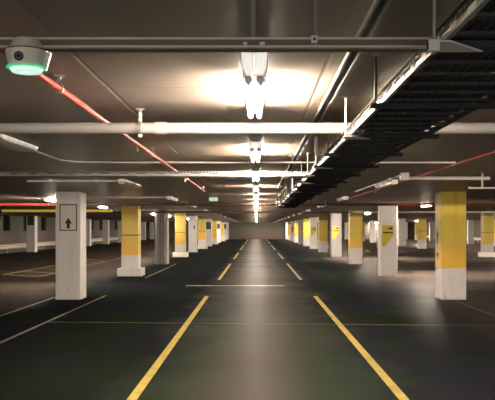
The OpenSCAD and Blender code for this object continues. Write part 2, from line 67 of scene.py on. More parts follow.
# Places that the frame gives: deck, soffit, aisle and the column rows
DECK_LOW, DECK_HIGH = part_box("deck_slab")
SOFFIT_LOW, SOFFIT_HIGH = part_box("soffit_slab")
LEFT_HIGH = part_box("columns_aisle_left")[1]
RIGHT_LOW, RIGHT_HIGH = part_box("columns_aisle_right")
FRONT = DECK_LOW.y
DECK = DECK_HIGH.z
SOFFIT = SOFFIT_LOW.z
ROOF = SOFFIT_HIGH.z
HEADROOM = SOFFIT - DECK
AISLE = (LEFT_HIGH.x + RIGHT_LOW.x) / 2
COLUMN_WIDTH = RIGHT_HIGH.x - RIGHT_LOW.x

# Sizes and counts that the frame doesn't state, lengths in metres of the model
COLUMNS = 13
COLUMN_DEPTH = real(0.6)
FIRST_COLUMN = RIGHT_LOW.y + COLUMN_DEPTH / 2
BAY = real(8.4)
STALL = BAY / 3
POUR = real(2.8)  # length of wall between two pour lines
LAMP_PITCH = real(3.45)
TUBE_LENGTH = real(1.2)
SIDE_PITCH = real(6.9)
TRAY_LIP = real(0.021)  # how far in from the aisle the tray's side reaches, with its painted highlight; the rungs inward are painted in shade
TRAY_SHINE = real(0.036)  # height of that side's painted highlight; above it the side is painted in shade
TRAY_HANGERS = 19
TRAY_ROD = real(0.006)
TRUNK_HEIGHT = real(0.031)  # the trunking's top flange above its lower edge
DRAIN_STEP = real(4)
DRAIN_ROD = real(0.01)
SPRINKLER_HANGERS = 5
RAIL_POSTS = 26
PAINT = 0.00015  # thickness of a painted marking
SKIN = 0.0005  # how deep a slab's top and underside count as painted
SHARP = 0.0002  # half the width of a mask's sharp edge
ACROSS, ALONG, UP = Vector((1, 0, 0)), Vector((0, 1, 0)), Vector((0, 0, 1))

# Colours that several finishes start from
ZINC = (0.60, 0.58, 0.55)
OPAL = (0.85, 0.85, 0.82)

# The photo's size, vanishing point and focal length in pixels, the sensor's width in millimetres
PHOTO_WIDTH, PHOTO_HEIGHT = 495, 400
VANISHING_X, VANISHING_Y = 256.5, 228
FOCAL = 770
SENSOR = 36

# Where the photo's camera stands
EYE_X = AISLE - real(0.0975)
EYE_Y = FRONT + real(0.2)
EYE_HEIGHT = real(1.6)


class Value:
    """A shader socket. An expression on values adds the Math nodes that work it out."""

    def __init__(self, nodes, socket):
        self.nodes = nodes
        self.socket = socket

    def math(self, operation, *terms):
        """The result of one Math node on the terms."""
        return self.nodes.node("ShaderNodeMath", {"operation": operation}, dict(enumerate(terms)))

    def __add__(self, other):
        return self.math("ADD", self, other)

    def __radd__(self, other):
        return self.math("ADD", other, self)

    def __sub__(self, other):
        return self.math("SUBTRACT", self, other)

    def __rsub__(self, other):
        return self.math("SUBTRACT", other, self)

    def __mul__(self, other):
        return self.math("MULTIPLY", self, other)

    def __rmul__(self, other):
        return self.math("MULTIPLY", other, self)

    def __truediv__(self, other):
        return self.math("DIVIDE", self, other)

    def __rtruediv__(self, other):
        return self.math("DIVIDE", other, self)

    def __pow__(self, other):
        return self.math("POWER", self, other)

    def __rpow__(self, other):
        return self.math("POWER", other, self)

    def __mod__(self, other):
        return self.math("FLOORED_MODULO", self, other)

    def __rmod__(self, other):
        return self.math("FLOORED_MODULO", other, self)

    def floor(self):
        """The whole number below the value."""
        return self.math("FLOOR", self)

    def size(self):
        """The value without its sign."""
        return self.math("ABSOLUTE", self)

    def either(self, other):
        """The greater of two masks."""
        return self.math("MAXIMUM", self, other)

    def away(self, other):
        """How far a place is from where both values are 0."""
        return (self ** 2 + other ** 2) ** 0.5

    def above(self, edge, blur=SHARP):
        """1 where the value is above the edge and 0 below it, with a soft step."""
        limits = {"From Min": edge - blur, "From Max": edge + blur}
        return self.nodes.node("ShaderNodeMapRange", inputs={"Value": self, **limits})

    def below(self, edge, blur=SHARP):
        """1 where the value is below the edge and 0 above it."""
        return 1 - self.above(edge, blur)

    def between(self, low, high, blur=SHARP):
        """1 where the value lies between the two edges."""
        return self.above(low, blur) * self.below(high, blur)

    def whole(self, which):
        """1 where a whole value is this number."""
        return self.between(which - 0.5, which + 0.5)

    def seam(self, edge, blur):
        """1 beside each whole value, where one panel ends and the next begins."""
        return ((self % 1) - 0.5).size().above(edge, blur)

    def spread(self, low, high):
        """A value from 0 to 1 taken to the range from low to high."""
        return low + self * (high - low)


class Nodes:
    """The node tree of a finish or of the sky."""

    def __init__(self, holder):
        holder.use_nodes = True
        self.tree = holder.node_tree
        self.tree.nodes.clear()

    def node(self, kind, settings=(), inputs=(), output=0):
        """Adds a node: its settings first, then the values or links of its sockets. Returns one output."""
        node = self.tree.nodes.new(kind)
        for key, setting in dict(settings).items():
            setattr(node, key, setting)
        for key, item in dict(inputs).items():
            if isinstance(item, Value):
                self.tree.links.new(item.socket, node.inputs[key])
            else:
                node.inputs[key].default_value = item
        return Value(self, node.outputs[output]) if node.outputs else node


class Finish(Nodes):
    """One material and the patterns that the finishes share."""

    def __init__(self, name):
        self.material = bpy.data.materials.new(name)
        super().__init__(self.material)
        self.place = self.node("ShaderNodeTexCoord", output="Object")
        parts = self.node("ShaderNodeSeparateXYZ", inputs={0: self.place}).socket.node
        self.x, self.y, self.z = (Value(self, socket) for socket in parts.outputs)

    def noise(self, scale, detail=3, stretch=None):
        """Cloudy noise from 0 to 1, its size given in cells per metre and scaled apart along the axes."""
        place = self.place
        if stretch:
            place = self.node("ShaderNodeMapping", inputs={"Vector": place, "Scale": stretch})
        inputs = {"Vector": place, "Scale": scale, "Detail": detail, "Roughness": 0.55}
        return self.node("ShaderNodeTexNoise", inputs=inputs)

    def cells(self, scale, output="Distance"):
        """A cell pattern, such as the grains of a coating."""
        inputs = {"Vector": self.place, "Scale": scale}
        return self.node("ShaderNodeTexVoronoi", inputs=inputs, output=output)

    def flowers(self):
        """The flowers of zinc, each with a value of its own."""
        return self.node("ShaderNodeRGBToBW", inputs={0: self.cells(700, "Color")})

    def dust(self):
        """1 where dust lies."""
        return self.noise(18, 4).above(0.55, 0.15)

    def chance(self, *places):
        """One random value for each whole place."""
        place = self.node("ShaderNodeCombineXYZ", inputs=dict(enumerate(places)))
        return self.node("ShaderNodeTexWhiteNoise", inputs={"Vector": place})

    def mix(self, factor, first, second):
        """The first colour where the factor is 0 and the second where it is 1."""
        inputs = {0: factor, 6: colour(first), 7: colour(second)}
        return self.node("ShaderNodeMix", {"data_type": "RGBA"}, inputs, output=2)

    def tone(self, base, amount):
        """The base colour made lighter or darker by the amount."""
        base = base if isinstance(base, Value) else base[:3]
        return self.node("ShaderNodeVectorMath", {"operation": "SCALE"}, {0: base, "Scale": amount})

    def clouded(self, base, low, high, *noise):
        """The base colour in clouds, from darker to lighter by the two amounts."""
        return self.tone(base, self.noise(*noise).spread(low, high))

    def bump(self, height, distance=0.00002):
        """A normal from the height, whose highest point stands proud by the distance in metres."""
        return self.node("ShaderNodeBump", inputs={"Height": height, "Distance": distance})

    def grain(self):
        """The normal of a finely grained paint or plastic."""
        return self.bump(self.noise(900, 2))

    def surface(self, base, roughness, normal=None, **more):
        """The material's surface. More sockets are named with _ for each space."""
        inputs = {"Base Color": colour(base), "Roughness": roughness}
        if normal:
            inputs["Normal"] = normal
        inputs.update({key.replace("_", " "): item for key, item in more.items()})
        shader = self.node("ShaderNodeBsdfPrincipled", inputs=inputs)
        self.node("ShaderNodeOutputMaterial", inputs={"Surface": shader})
        return self.material

    def lit(self, cover, glow, strength, roughness=0.3):
        """A surface that glows through its cover."""
        return self.surface(cover, roughness, Emission_Color=glow, Emission_Strength=strength)


def colour(value):
    """A colour with its alpha, or the socket that gives it."""
    return value if isinstance(value, Value) else (*value[:3], 1.0)


def hue(name, description, default):
    """A colour that can be changed."""
    return FloatVectorProperty(
        name=name, description=description, subtype="COLOR", size=3, default=default, min=0, max=1)


class LevelColours(bpy.types.PropertyGroup):
    """Colours of the paints and materials."""

    deck: hue("Deck", "Sealed surface of the deck", (0.0100, 0.0108, 0.0135))
    deck_patch: hue("Deck patches", "Greener patches of the deck", (0.0100, 0.0135, 0.0085))
    lane: hue("Lane", "Worn coating between the lines of the aisle", (0.033, 0.027, 0.022))
    lane_patch: hue("Lane patches", "Greener patches of the lane", (0.021, 0.030, 0.017))
    bays: hue("Bays", "Coating of the parking bays", (0.042, 0.034, 0.027))
    lines: hue("Lines", "Yellow lines on the deck", (0.58, 0.43, 0.10))
    soffit: hue("Soffit", "Painted underside of the slab overhead", (0.315, 0.268, 0.225))
    soffit_patch: hue("Soffit patches", "Browner patches of the soffit", (0.315, 0.240, 0.170))
    white: hue("White paint", "White paint on the columns", (0.72, 0.69, 0.65))
    yellow: hue("Yellow paint", "Yellow paint on the columns", (0.86, 0.52, 0.085))
    olive: hue("Olive paint", "Yellow paint where it has darkened", (0.78, 0.58, 0.10))
    wall: hue("Walls", "Painted side walls", (0.110, 0.088, 0.064))
    end_wall: hue("End wall", "Painted wall at the aisle's end", (0.128, 0.106, 0.090))
    red: hue("Sprinkler pipes", "Red paint on the pipes", (0.52, 0.07, 0.05))
    lamp: hue("Lamps", "Light of the tubes", (1.0, 0.83, 0.68))


class LevelSizes(bpy.types.PropertyGroup):
    """Sizes that can be changed, lengths in metres of the model."""

    eye_height: FloatProperty(
        name="Eye height", description="Camera above the deck",
        default=EYE_HEIGHT, min=0.1, max=0.2, unit="LENGTH")
    lens: FloatProperty(
        name="Lens", description="Focal length of the camera in millimetres",
        default=SENSOR * FOCAL / PHOTO_WIDTH, min=20, max=120)
    yellow_foot: FloatProperty(
        name="Yellow foot", description="Lower edge of the yellow paint above the deck",
        default=0.070, min=0.02, max=0.2, unit="LENGTH")
    line_width: FloatProperty(
        name="Line width", description="Width of the aisle's lines",
        default=0.0095, min=0.004, max=0.02, unit="LENGTH")
    lamp_power: FloatProperty(
        name="Lamp power", description="Radiance of the strongest tubes", default=3000.0, min=0, max=9000)


def colours():
    """The scene's colours."""
    return bpy.context.scene.level_colours


def sizes():
    """The scene's sizes."""
    return bpy.context.scene.level_sizes


def dress(material, *names):
    """Gives the CAD nodes their finish."""
    for name in names:
        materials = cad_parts[name].data.materials
        materials.clear()
        materials.append(material)


def add_piece(name, mesh, material):
    """Turns a bmesh into a piece that rides on the level."""
    bmesh.ops.recalc_face_normals(mesh, faces=mesh.faces)
    data = bpy.data.meshes.new(name)
    mesh.to_mesh(data)
    mesh.free()
    data.materials.append(material)
    piece = bpy.data.objects.new(name, data)
    bpy.context.scene.collection.objects.link(piece)
    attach(piece, "root")


def add_block(mesh, low, high):
    """Adds a box from its lowest to its highest corner."""
    size = Vector(high) - Vector(low)
    centre = (Vector(high) + Vector(low)) / 2
    bmesh.ops.create_cube(mesh, size=1, matrix=Matrix.LocRotScale(centre, None, size))


def add_rings(mesh, rings):
    """Adds a closed shape through rings of points, flat at both ends."""
    rings = [[mesh.verts.new(point) for point in ring] for ring in rings]
    for low, high in zip(rings, rings[1:]):
        for k, corner in enumerate(low):
            after = (k + 1) % len(low)
            mesh.faces.new((corner, low[after], high[after], high[k]))
    mesh.faces.new(rings[0][::-1])
    mesh.faces.new(rings[-1])


def add_prism(mesh, outline, origin, across=ACROSS, up=UP, thickness=PAINT):
    """Adds a flat shape: its outline in two directions from an origin, made as thick as said."""
    out = across.cross(up).normalized() * thickness
    back = [origin + across * u + up * v for u, v in outline]
    add_rings(mesh, (back, [point + out for point in back]))


def add_turned(mesh, profile, centre, axis="Z", segments=32):
    """Adds a closed shape turned round an axis, of which Y points to the front.

    The profile is a list of radius and height.
    """
    turn = {"Z": Matrix.Identity(3), "Y": Matrix.Rotation(math.radians(90), 3, "X"),
            "X": Matrix.Rotation(math.radians(90), 3, "Y")}[axis]
    angles = [math.tau * k / segments for k in range(segments)]
    circle = [Vector((math.cos(angle), math.sin(angle), 0)) for angle in angles]
    add_rings(mesh, [
        [Vector(centre) + turn @ (point * radius + UP * height) for point in circle]
        for radius, height in profile])


def repeat_tree(name):
    """Geometry nodes that repeat a shape along a line, each copy turned by chance up to a limit."""
    tree = bpy.data.node_groups.new(name, "GeometryNodeTree")
    for title, kind in (
        ("Shape", "Geometry"), ("Count", "Int"), ("Start", "Vector"),
        ("Step", "Vector"), ("Turn", "Float"), ("Finish", "Material"),
    ):
        tree.interface.new_socket(title, in_out="INPUT", socket_type="NodeSocket" + kind)
    tree.interface.new_socket("Shape", in_out="OUTPUT", socket_type="NodeSocketGeometry")
    nodes = {title: tree.nodes.new(kind) for title, kind in (
        ("inputs", "NodeGroupInput"), ("line", "GeometryNodeMeshLine"),
        ("chance", "FunctionNodeRandomValue"), ("turn", "ShaderNodeCombineXYZ"),
        ("copies", "GeometryNodeInstanceOnPoints"), ("joined", "GeometryNodeRealizeInstances"),
        ("painted", "GeometryNodeSetMaterial"), ("result", "NodeGroupOutput"),
    )}
    chance = nodes["chance"]
    chance.data_type = "FLOAT"
    chance.inputs["Seed"].default_value = 7
    least, most = [k for k, socket in enumerate(chance.inputs) if socket.type == "VALUE"][:2]
    chance.inputs[least].default_value = 0
    drawn = next(k for k, socket in enumerate(chance.outputs) if socket.type == "VALUE")
    for start, output, end, target in (
        ("inputs", "Count", "line", "Count"),
        ("inputs", "Start", "line", "Start Location"),
        ("inputs", "Step", "line", "Offset"),
        ("line", "Mesh", "copies", "Points"),
        ("inputs", "Shape", "copies", "Instance"),
        ("inputs", "Turn", "chance", most),
        ("chance", drawn, "turn", "Z"),
        ("turn", "Vector", "copies", "Rotation"),
        ("copies", "Instances", "joined", "Geometry"),
        ("joined", "Geometry", "painted", "Geometry"),
        ("inputs", "Finish", "painted", "Material"),
        ("painted", "Geometry", "result", "Shape"),
    ):
        tree.links.new(nodes[start].outputs[output], nodes[end].inputs[target])
    return tree


def add_repeats(name, shape, lines, material, turn=0.0):
    """A piece that repeats a shape, a bmesh at the origin, along lines of a count, a start and a step."""
    title = "repeat along a line"
    tree = bpy.data.node_groups.get(title) or repeat_tree(title)
    keys = {item.name: item.identifier for item in tree.interface.items_tree if item.in_out == "INPUT"}
    unit = bpy.data.meshes.new(name + "_unit")
    shape.to_mesh(unit)
    shape.free()
    mesh = bmesh.new()
    for count, start, step in lines:
        holder = bpy.data.objects.new(name + "_unit", unit)
        bpy.context.scene.collection.objects.link(holder)
        modifier = holder.modifiers.new("repeat", "NODES")
        modifier.node_group = tree
        inputs = {"Count": count, "Start": tuple(start), "Step": tuple(step)}
        for key, value in {**inputs, "Turn": turn, "Finish": material}.items():
            modifier[keys[key]] = value
        depsgraph = bpy.context.evaluated_depsgraph_get()
        result = bpy.data.meshes.new_from_object(holder.evaluated_get(depsgraph))
        mesh.from_mesh(result)
        bpy.data.objects.remove(holder)
        bpy.data.meshes.remove(result)
    bpy.data.meshes.remove(unit)
    add_piece(name, mesh, material)


def add_stripe(mesh, x0, y0, x1, y1, width):
    """Adds a painted line on the deck, in real metres from the aisle's centre and the front edge."""
    start = Vector((AISLE + real(x0), FRONT + real(y0), DECK))
    along = Vector((AISLE + real(x1), FRONT + real(y1), DECK)) - start
    side = Vector((-along.y, along.x, 0)).normalized() * real(width) / 2
    add_prism(mesh, ((0, -1), (1, -1), (1, 1), (0, 1)), start, along, side)


def seen(px, py, y):
    """The point at a depth that the photo shows at a pixel."""
    away = (y - EYE_Y) / FOCAL
    return Vector((EYE_X + (px - VANISHING_X) * away, y, DECK + EYE_HEIGHT + (VANISHING_Y - py) * away))


def add_arrow(mesh, start, width, height, across=ACROSS, up=UP):
    """Adds a painted arrow from the middle of its foot, its sizes in real metres."""
    half, height = real(width) / 2, real(height)
    shaft, neck = half * 0.4, height * 0.46
    outline = (
        (-shaft, 0), (shaft, 0), (shaft, neck), (half, neck), (0, height), (-half, neck), (-shaft, neck))
    add_prism(mesh, outline, start, across, up)


def frame_bars(x0, x1, y0, y1, width):
    """The four bars of a rectangular frame, each by its limits in two directions."""
    return (
        (x0, x1, y0, y0 + width), (x0, x1, y1 - width, y1),
        (x0, x0 + width, y0 + width, y1 - width), (x1 - width, x1, y0 + width, y1 - width),
    )


def chamfered(half, deep, cut_x, cut_y):
    """The outline of a block below its seat, its two far corners cut off."""
    return (
        (-half, 0), (-half, cut_y - deep), (cut_x - half, -deep),
        (half - cut_x, -deep), (half, cut_y - deep), (half, 0),
    )


def column_front(number):
    """Where the front face of a row's column with this number lies."""
    return FIRST_COLUMN - COLUMN_DEPTH / 2 + number * BAY


def row_middle(node):
    """Where the middle of a row of columns lies across the level."""
    low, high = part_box(node)
    return (low.x + high.x) / 2


# Finishes

def deck_finish():
    """Dark coating on top, worn brown and glossy in the lane and in the bays, bare concrete elsewhere, with
    painted light right of the aisle.
    """
    f = Finish("deck coating")
    paint = colours()
    top = f.z.above(DECK - SKIN)
    side = f.x - AISLE + f.noise(6, 3).spread(-0.05, 0.05)
    away = side.size()
    right = side.above(0.0, 0.1)
    # painted light: right of the aisle the coating is up to 1.5 times lighter, for the brighter light and
    # reflections there
    right_painted_light = right.spread(1.0, 1.5)
    far = (f.y - FRONT).above(real(15), real(6))
    lane = away.below(real(1.15), real(0.45))
    bays = (away + right * real(1.3)).above(real(5.1), real(0.6))
    tyres = f.noise(2.5, 4, (0.35, 1, 1)).spread(0.6, 1.4)
    edge = away.above(real(0.55), real(0.35)) * (1 - far)
    patches = (f.noise(5, 4) + edge * 0.3 - 0.08).above(0.5, 0.12)
    worn = f.mix(patches, paint.lane, paint.lane_patch)
    base = f.mix(f.noise(4, 4).above(0.54, 0.06), paint.deck, paint.deck_patch)
    base = f.tone(base, f.noise(9, 4).spread(0.95, 1.6) * right_painted_light)
    base = f.mix(lane, base, f.tone(worn, tyres))
    base = f.mix(bays, base, f.tone(paint.bays, tyres * right_painted_light))
    concrete = f.clouded((0.34, 0.32, 0.29), 0.8, 1.2, 5, 5)
    shine = lane * far.spread(0.20, 0.50) + bays * right.spread(0.20, 0.24)
    shine = shine + right * (1 - lane) * (1 - bays) * side.above(real(2.7), real(0.5)) * 0.16
    gloss = top * shine * f.noise(4, 4, (0.5, 1, 1)).spread(0.4, 1.3)
    return f.surface(
        f.mix(top, concrete, base), f.noise(3, 3).spread(0.72, 0.82),
        f.bump(f.cells(420).spread(-1, 1), 0.00004),
        Specular_IOR_Level=0.0, Coat_Weight=gloss, Coat_Roughness=0.45)


def soffit_finish():
    """Semi-gloss paint over formwork marks below, deck coating on top, bare concrete at the edges.

    It has a painted glow beside each lamp, greyer paint at the front, painted shade over the bays and a
    painted shadow round the tray.
    """
    f = Finish("soffit paint")
    paint = colours()
    side = f.x - AISLE
    low = f.z.below(SOFFIT + SKIN)
    top = f.z.above(ROOF - SKIN)
    bays = side.size().above(real(3.9), real(0.6))
    right = side.above(0, 0.01)
    near = (f.y - FRONT).below(real(2.9), real(0.7))
    tray = side.between(real(1.3), real(4.0), real(0.5))
    tube_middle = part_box("lamp_tubes")[0].y + TUBE_LENGTH / 2
    lamps = (f.y - (tube_middle - LAMP_PITCH / 2)) % LAMP_PITCH - LAMP_PITCH / 2
    reach = real(0.75)
    # painted glow: an oval beside each lamp where the paint is made up to 1.6 times lighter
    lamp_glow = ((lamps / reach) ** 2 + ((side - real(0.7)) / reach) ** 2).below(1.0, 0.8)
    across, along = f.x / real(1.2), f.y / real(2.4)
    panel = f.chance(across.floor(), along.floor()).spread(0.95, 1.04)
    joint = across.seam(0.492, 0.004).either(along.seam(0.496, 0.002))
    tint = f.mix(f.noise(3.2, 3).above(0.5, 0.12), paint.soffit, paint.soffit_patch)
    tint = f.mix(f.noise(4.1, 2, (1, 1.3, 1)).above(0.56, 0.08) * 0.5, tint, (0.27, 0.285, 0.19))
    tint = f.mix(near * 0.8, tint, (0.272, 0.262, 0.252))
    light = panel * f.noise(1.6, 5).spread(0.82, 1.16) * (1 - joint * 0.12)
    # painted shade over the bays, most on the right, painted glow beside the lamps and a painted shadow of
    # the tray
    light = light * (1 - bays * right.spread(0.3, 0.5)) * lamp_glow.spread(1.0, 1.6) * tray.spread(1.0, 0.72)
    coating = f.mix(top_lines(f), f.clouded(paint.deck, 0.9, 1.6, 2.2, 4), paint.lines)
    concrete = f.clouded((0.40, 0.37, 0.34), 0.8, 1.15, 5, 5)
    base = f.mix(top, f.mix(low, concrete, f.tone(tint, light)), coating)
    dull = bays * 0.28 + tray * (1 - bays) * 0.24 + lamp_glow * 0.15
    rough = low * (f.noise(4, 3).spread(0.27, 0.39) + dull) + (1 - low) * 0.6
    return f.surface(base, rough, f.bump(joint * -1 + f.noise(300, 2) * 0.15, 0.0002))


def top_lines(f):
    """Painted lines of the deck above: two along its aisle and one beside each parking bay."""
    away = (f.x - AISLE).size()
    aisle = (away - real(1.27)).size().below(sizes().line_width / 2)
    stall = ((f.y - FIRST_COLUMN) / STALL).seam(0.5 - real(0.06) / STALL, 0.001)
    return aisle.either(stall * away.between(real(3.7), real(8.7)))


def column_finish(name, parity=None, shaded=0.015, painted_light_shares=()):
    """White paint, yellow above knee height on every second column from the parity on, shaded at the head.

    Columns listed by number and share of the light are painted darker as shade, or lighter as painted light
    with a share over 1.
    """
    f = Finish(name)
    paint = colours()
    number = ((f.y - FIRST_COLUMN) / BAY + 0.5).floor()
    chosen = 0.0 if parity is None else (number % 2).whole(parity)
    height = f.z - DECK
    edge = height + f.noise(60, 2).spread(-0.0004, 0.0004)
    yellow = f.mix((height + f.noise(18, 2) * 0.03).above(0.125, 0.02), paint.yellow, paint.olive)
    base = f.mix(edge.above(sizes().yellow_foot, 0.0004) * chosen, paint.white, yellow)
    streaks = f.noise(30, 3, (1, 1, 0.12)).above(0.60, 0.06)
    scuffs = f.noise(90, 4, (1, 1, 0.3)).above(0.66, 0.05) * height.below(0.035, 0.02)
    shade = edge.above(HEADROOM - shaded, 0.004) * chosen
    light = 1 - streaks * 0.08 - scuffs * 0.25 - height.below(0.003, 0.003) * 0.2 - shade * 0.65
    # listed columns: painted shade with a share below 1, painted light with a share above 1
    for which, share in painted_light_shares:
        light = light * number.whole(which).spread(1.0, share)
    base = f.tone(base, light * f.noise(8, 4).spread(0.93, 1.05))
    return f.surface(base, f.noise(20, 3).spread(0.42, 0.56), f.bump(f.noise(500, 2), 0.00004))


def wall_finish(name, paint):
    """Painted concrete, darker at the foot from dirt and painted shade, greenish near the soffit, with pour
    lines.
    """
    f = Finish(name)
    height = f.z - DECK
    stains = f.noise(14, 4, (1, 1, 0.15)).above(0.60, 0.08)
    upper = (height + f.noise(4, 3) * 0.03).above(0.175, 0.03) * 0.6
    # darker at the foot: dirt and painted shade where the wall meets the deck
    light = f.noise(3, 5).spread(0.85, 1.12) - stains * 0.12 - height.below(0.02, 0.02) * 0.2
    base = f.tone(f.mix(upper, paint, (0.042, 0.066, 0.034)), light)
    pour = (f.y / POUR).seam(0.495, 0.002)
    return f.surface(base, 0.62, f.bump(pour * -1 + f.noise(260, 3) * 0.2, 0.0002))


def galvanised_finish(name="galvanised steel", base=ZINC, low=0.34, high=0.5):
    """Zinc with its flowers, dull in patches."""
    f = Finish(name)
    grey = f.flowers()
    tone = f.tone(base, grey.spread(0.88, 1.1) * f.noise(12, 3).spread(0.85, 1.1))
    return f.surface(tone, grey.spread(low, high), f.bump(grey), Metallic=0.9)


def plastic_finish(name, base, rough, dirt, shine=0.5):
    """Moulded plastic or enamel with a little dust."""
    f = Finish(name)
    dust = f.dust()
    tone = f.tone(base, f.noise(6, 3).spread(0.95, 1.04) - dust * dirt)
    return f.surface(tone, dust * 0.2 + rough, f.grain(), Specular_IOR_Level=shine)


def glowing_finish(name, light, strength, cover=OPAL):
    """A lit face such as a sign, or a painted face whose glow is painted light."""
    f = Finish(name)
    return f.lit(f.clouded(cover, 0.95, 1.0, 80, 2), f.clouded(light, 0.92, 1.0, 60, 2), strength)


def tube_finish(name, bays):
    """Lit tubes. Over the bays those on the right are the strongest.

    Over the aisle the far ones are weaker, and all are darker at their ends, where the electrodes are.
    """
    f = Finish(name)
    if bays:
        power = f.x.above(AISLE, 0.1).spread(0.36, 0.75)
    else:
        along = (f.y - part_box("lamp_tubes")[0].y) % LAMP_PITCH
        power = along.between(0.016, TUBE_LENGTH - 0.010, 0.008)
        power = power * (f.y - FRONT).above(real(12), real(6)).spread(0.24, 0.13)
    glow = f.tone(colours().lamp, power * f.noise(60, 2).spread(0.97, 1.0))
    return f.lit(f.clouded(OPAL, 0.95, 1.0, 80, 2), glow, sizes().lamp_power)


def lamp_body_finish():
    """White enamel with a painted glow near its front end, standing in for the tubes' light, and two dark
    lines beside its rib.
    """
    f = Finish("lamp enamel")
    low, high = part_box("lamp_bodies")
    along = (f.y - low.y) % LAMP_PITCH
    across = (f.x - (low.x + high.x) / 2).size()
    near = along.between(0.0015, 0.052, 0.0008)
    lines = across.between(0.0006, 0.0010, 0.0001)
    rings = along.between(0.049, 0.0515, 0.0003) * across.between(0.0016, 0.0024, 0.0002)
    light = (1 - lines.either(rings) * 0.75) * f.noise(60, 3).spread(0.92, 1.0)
    # painted glow: the front end of each body emits light, as if lit by the tubes
    return f.lit(f.tone((0.80, 0.79, 0.76), light), f.tone((0.80, 0.76, 0.70), near * light), 1.0)


def tray_finish():
    """Pale zinc low on the aisle side as a painted highlight; painted shade above it, past the bracket and on
    the rungs, with pale specks.
    """
    f = Finish("tray")
    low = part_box("main_tray")[0]
    depth = f.y - FRONT
    inside = f.x.above(low.x + TRAY_LIP, 0.00005)
    upper = f.z.above(low.z + TRAY_SHINE, real(0.001))
    bracket, joint = reals(2.75, 3.3)
    past = depth.above(bracket, real(0.02))
    # painted shade: the side's highlight is dimmed between the bracket and the next joint
    bracket_shade = past * depth.below(joint, real(0.15))
    grey = f.flowers()
    zinc = f.tone((0.72, 0.68, 0.62), grey.spread(0.88, 1.1) * bracket_shade.spread(1.0, 0.12))
    # painted shade above the highlight strip, darkest before the bracket
    zinc = f.mix(upper, zinc, f.mix(past, (0.06, 0.053, 0.046), (0.15, 0.128, 0.106)))
    specks = f.noise(900, 2, (0.25, 1, 1)).above(0.70, 0.03)
    # painted shade: the rungs inside are dark, with pale specks
    black = f.tone((0.055, 0.055, 0.055), f.noise(40, 3).spread(0.7, 1.4) + specks * 5)
    bare = (1 - inside) * (1 - upper)
    rough = bare * grey.spread(0.4, 0.55) + (1 - bare) * 0.9
    return f.surface(f.mix(inside, zinc, black), rough, f.bump(grey), Metallic=bare * 0.7)


def cross_tray_finish():
    """Zinc over the aisle, darker and less metallic left of it."""
    f = Finish("cross tray")
    grey = f.flowers()
    left = f.x.below(AISLE - real(1.9), real(0.5))
    zinc = f.tone(ZINC, grey.spread(0.88, 1.1) * left.spread(1.0, 0.25))
    return f.surface(zinc, grey.spread(0.34, 0.5), f.bump(grey), Metallic=left.spread(0.9, 0.3))


def rod_finish():
    """Zinc rods, every second one painted dark and dull as in shade."""
    f = Finish("tray rods")
    first, step = tray_rods()
    odd = (((f.y - first + TRAY_ROD) / step + 0.5).floor() % 2).above(0.5)
    # painted shade: every second rod is dark and not metallic
    tone = f.clouded(f.mix(odd, ZINC, (0.06, 0.05, 0.045)), 0.85, 1.1, 60)
    return f.surface(tone, 0.45, f.grain(), Metallic=odd.spread(0.8, 0.0))


def trunking_finish():
    """Trunking painted dark brown as shade, with painted highlights on its top flange, lower edge and near
    lip.
    """
    f = Finish("trunking")
    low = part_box("sensor_trunking")[0]
    edge = 0.0006
    rise = f.z - low.z
    flange = rise.between(TRUNK_HEIGHT - edge, TRUNK_HEIGHT + edge)
    lip = rise.below(edge) * f.y.below(low.y + 0.0024)
    post = rise.above(TRUNK_HEIGHT + edge)
    # painted shade on the body, painted highlights on the top flange and the near lip
    dull = f.clouded((0.19, 0.135, 0.092), 0.8, 1.2, 30, 3, (0.2, 1, 1))
    pale = f.clouded((0.82, 0.71, 0.58), 0.85, 1.1, 60)
    base = f.mix(flange.either(lip), f.mix(post, dull, (0.30, 0.26, 0.22)), pale)
    return f.surface(base, 0.5, f.bump(f.noise(200, 2)))


def strut_finish():
    """Galvanised channel with painted shade: black inside its slot, darker near the front and the soffit; the
    conduit and its box are pale.
    """
    f = Finish("strut channel")
    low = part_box("conduits")[0]
    inside = f.x.between(low.x + 0.0012, low.x + 0.0044, 0.0001)
    channel = f.x.below(low.x + 0.008)
    grey = f.flowers()
    shade = f.y.below(FRONT + 0.255, 0.02) * f.z.above(SOFFIT - 0.0016, 0.0001)
    zinc = f.tone((0.46, 0.43, 0.39), grey.spread(0.88, 1.1) * (1 - shade * 0.75))
    pale = f.clouded((0.60, 0.57, 0.52), 0.92, 1.05, 20)
    # painted shade: the inside of the slot is black
    base = f.mix(inside, f.mix(channel, pale, zinc), (0.010, 0.010, 0.010))
    return f.surface(base, 0.45, f.bump(grey))


def drain_finish():
    """Grey plastic left of one clamp over the aisle, newer and paler right of it."""
    f = Finish("drain pipe plastic")
    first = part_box("drain_hangers")[0].x + DRAIN_ROD
    steps = round((AISLE - real(0.9) - first) / DRAIN_STEP)
    newer = f.x.above(first + steps * DRAIN_STEP - real(0.02))
    tone = f.tone((0.42, 0.39, 0.36), newer.spread(0.72, 1.08) - f.dust() * 0.1)
    return f.surface(tone, newer.spread(0.5, 0.32), f.grain())


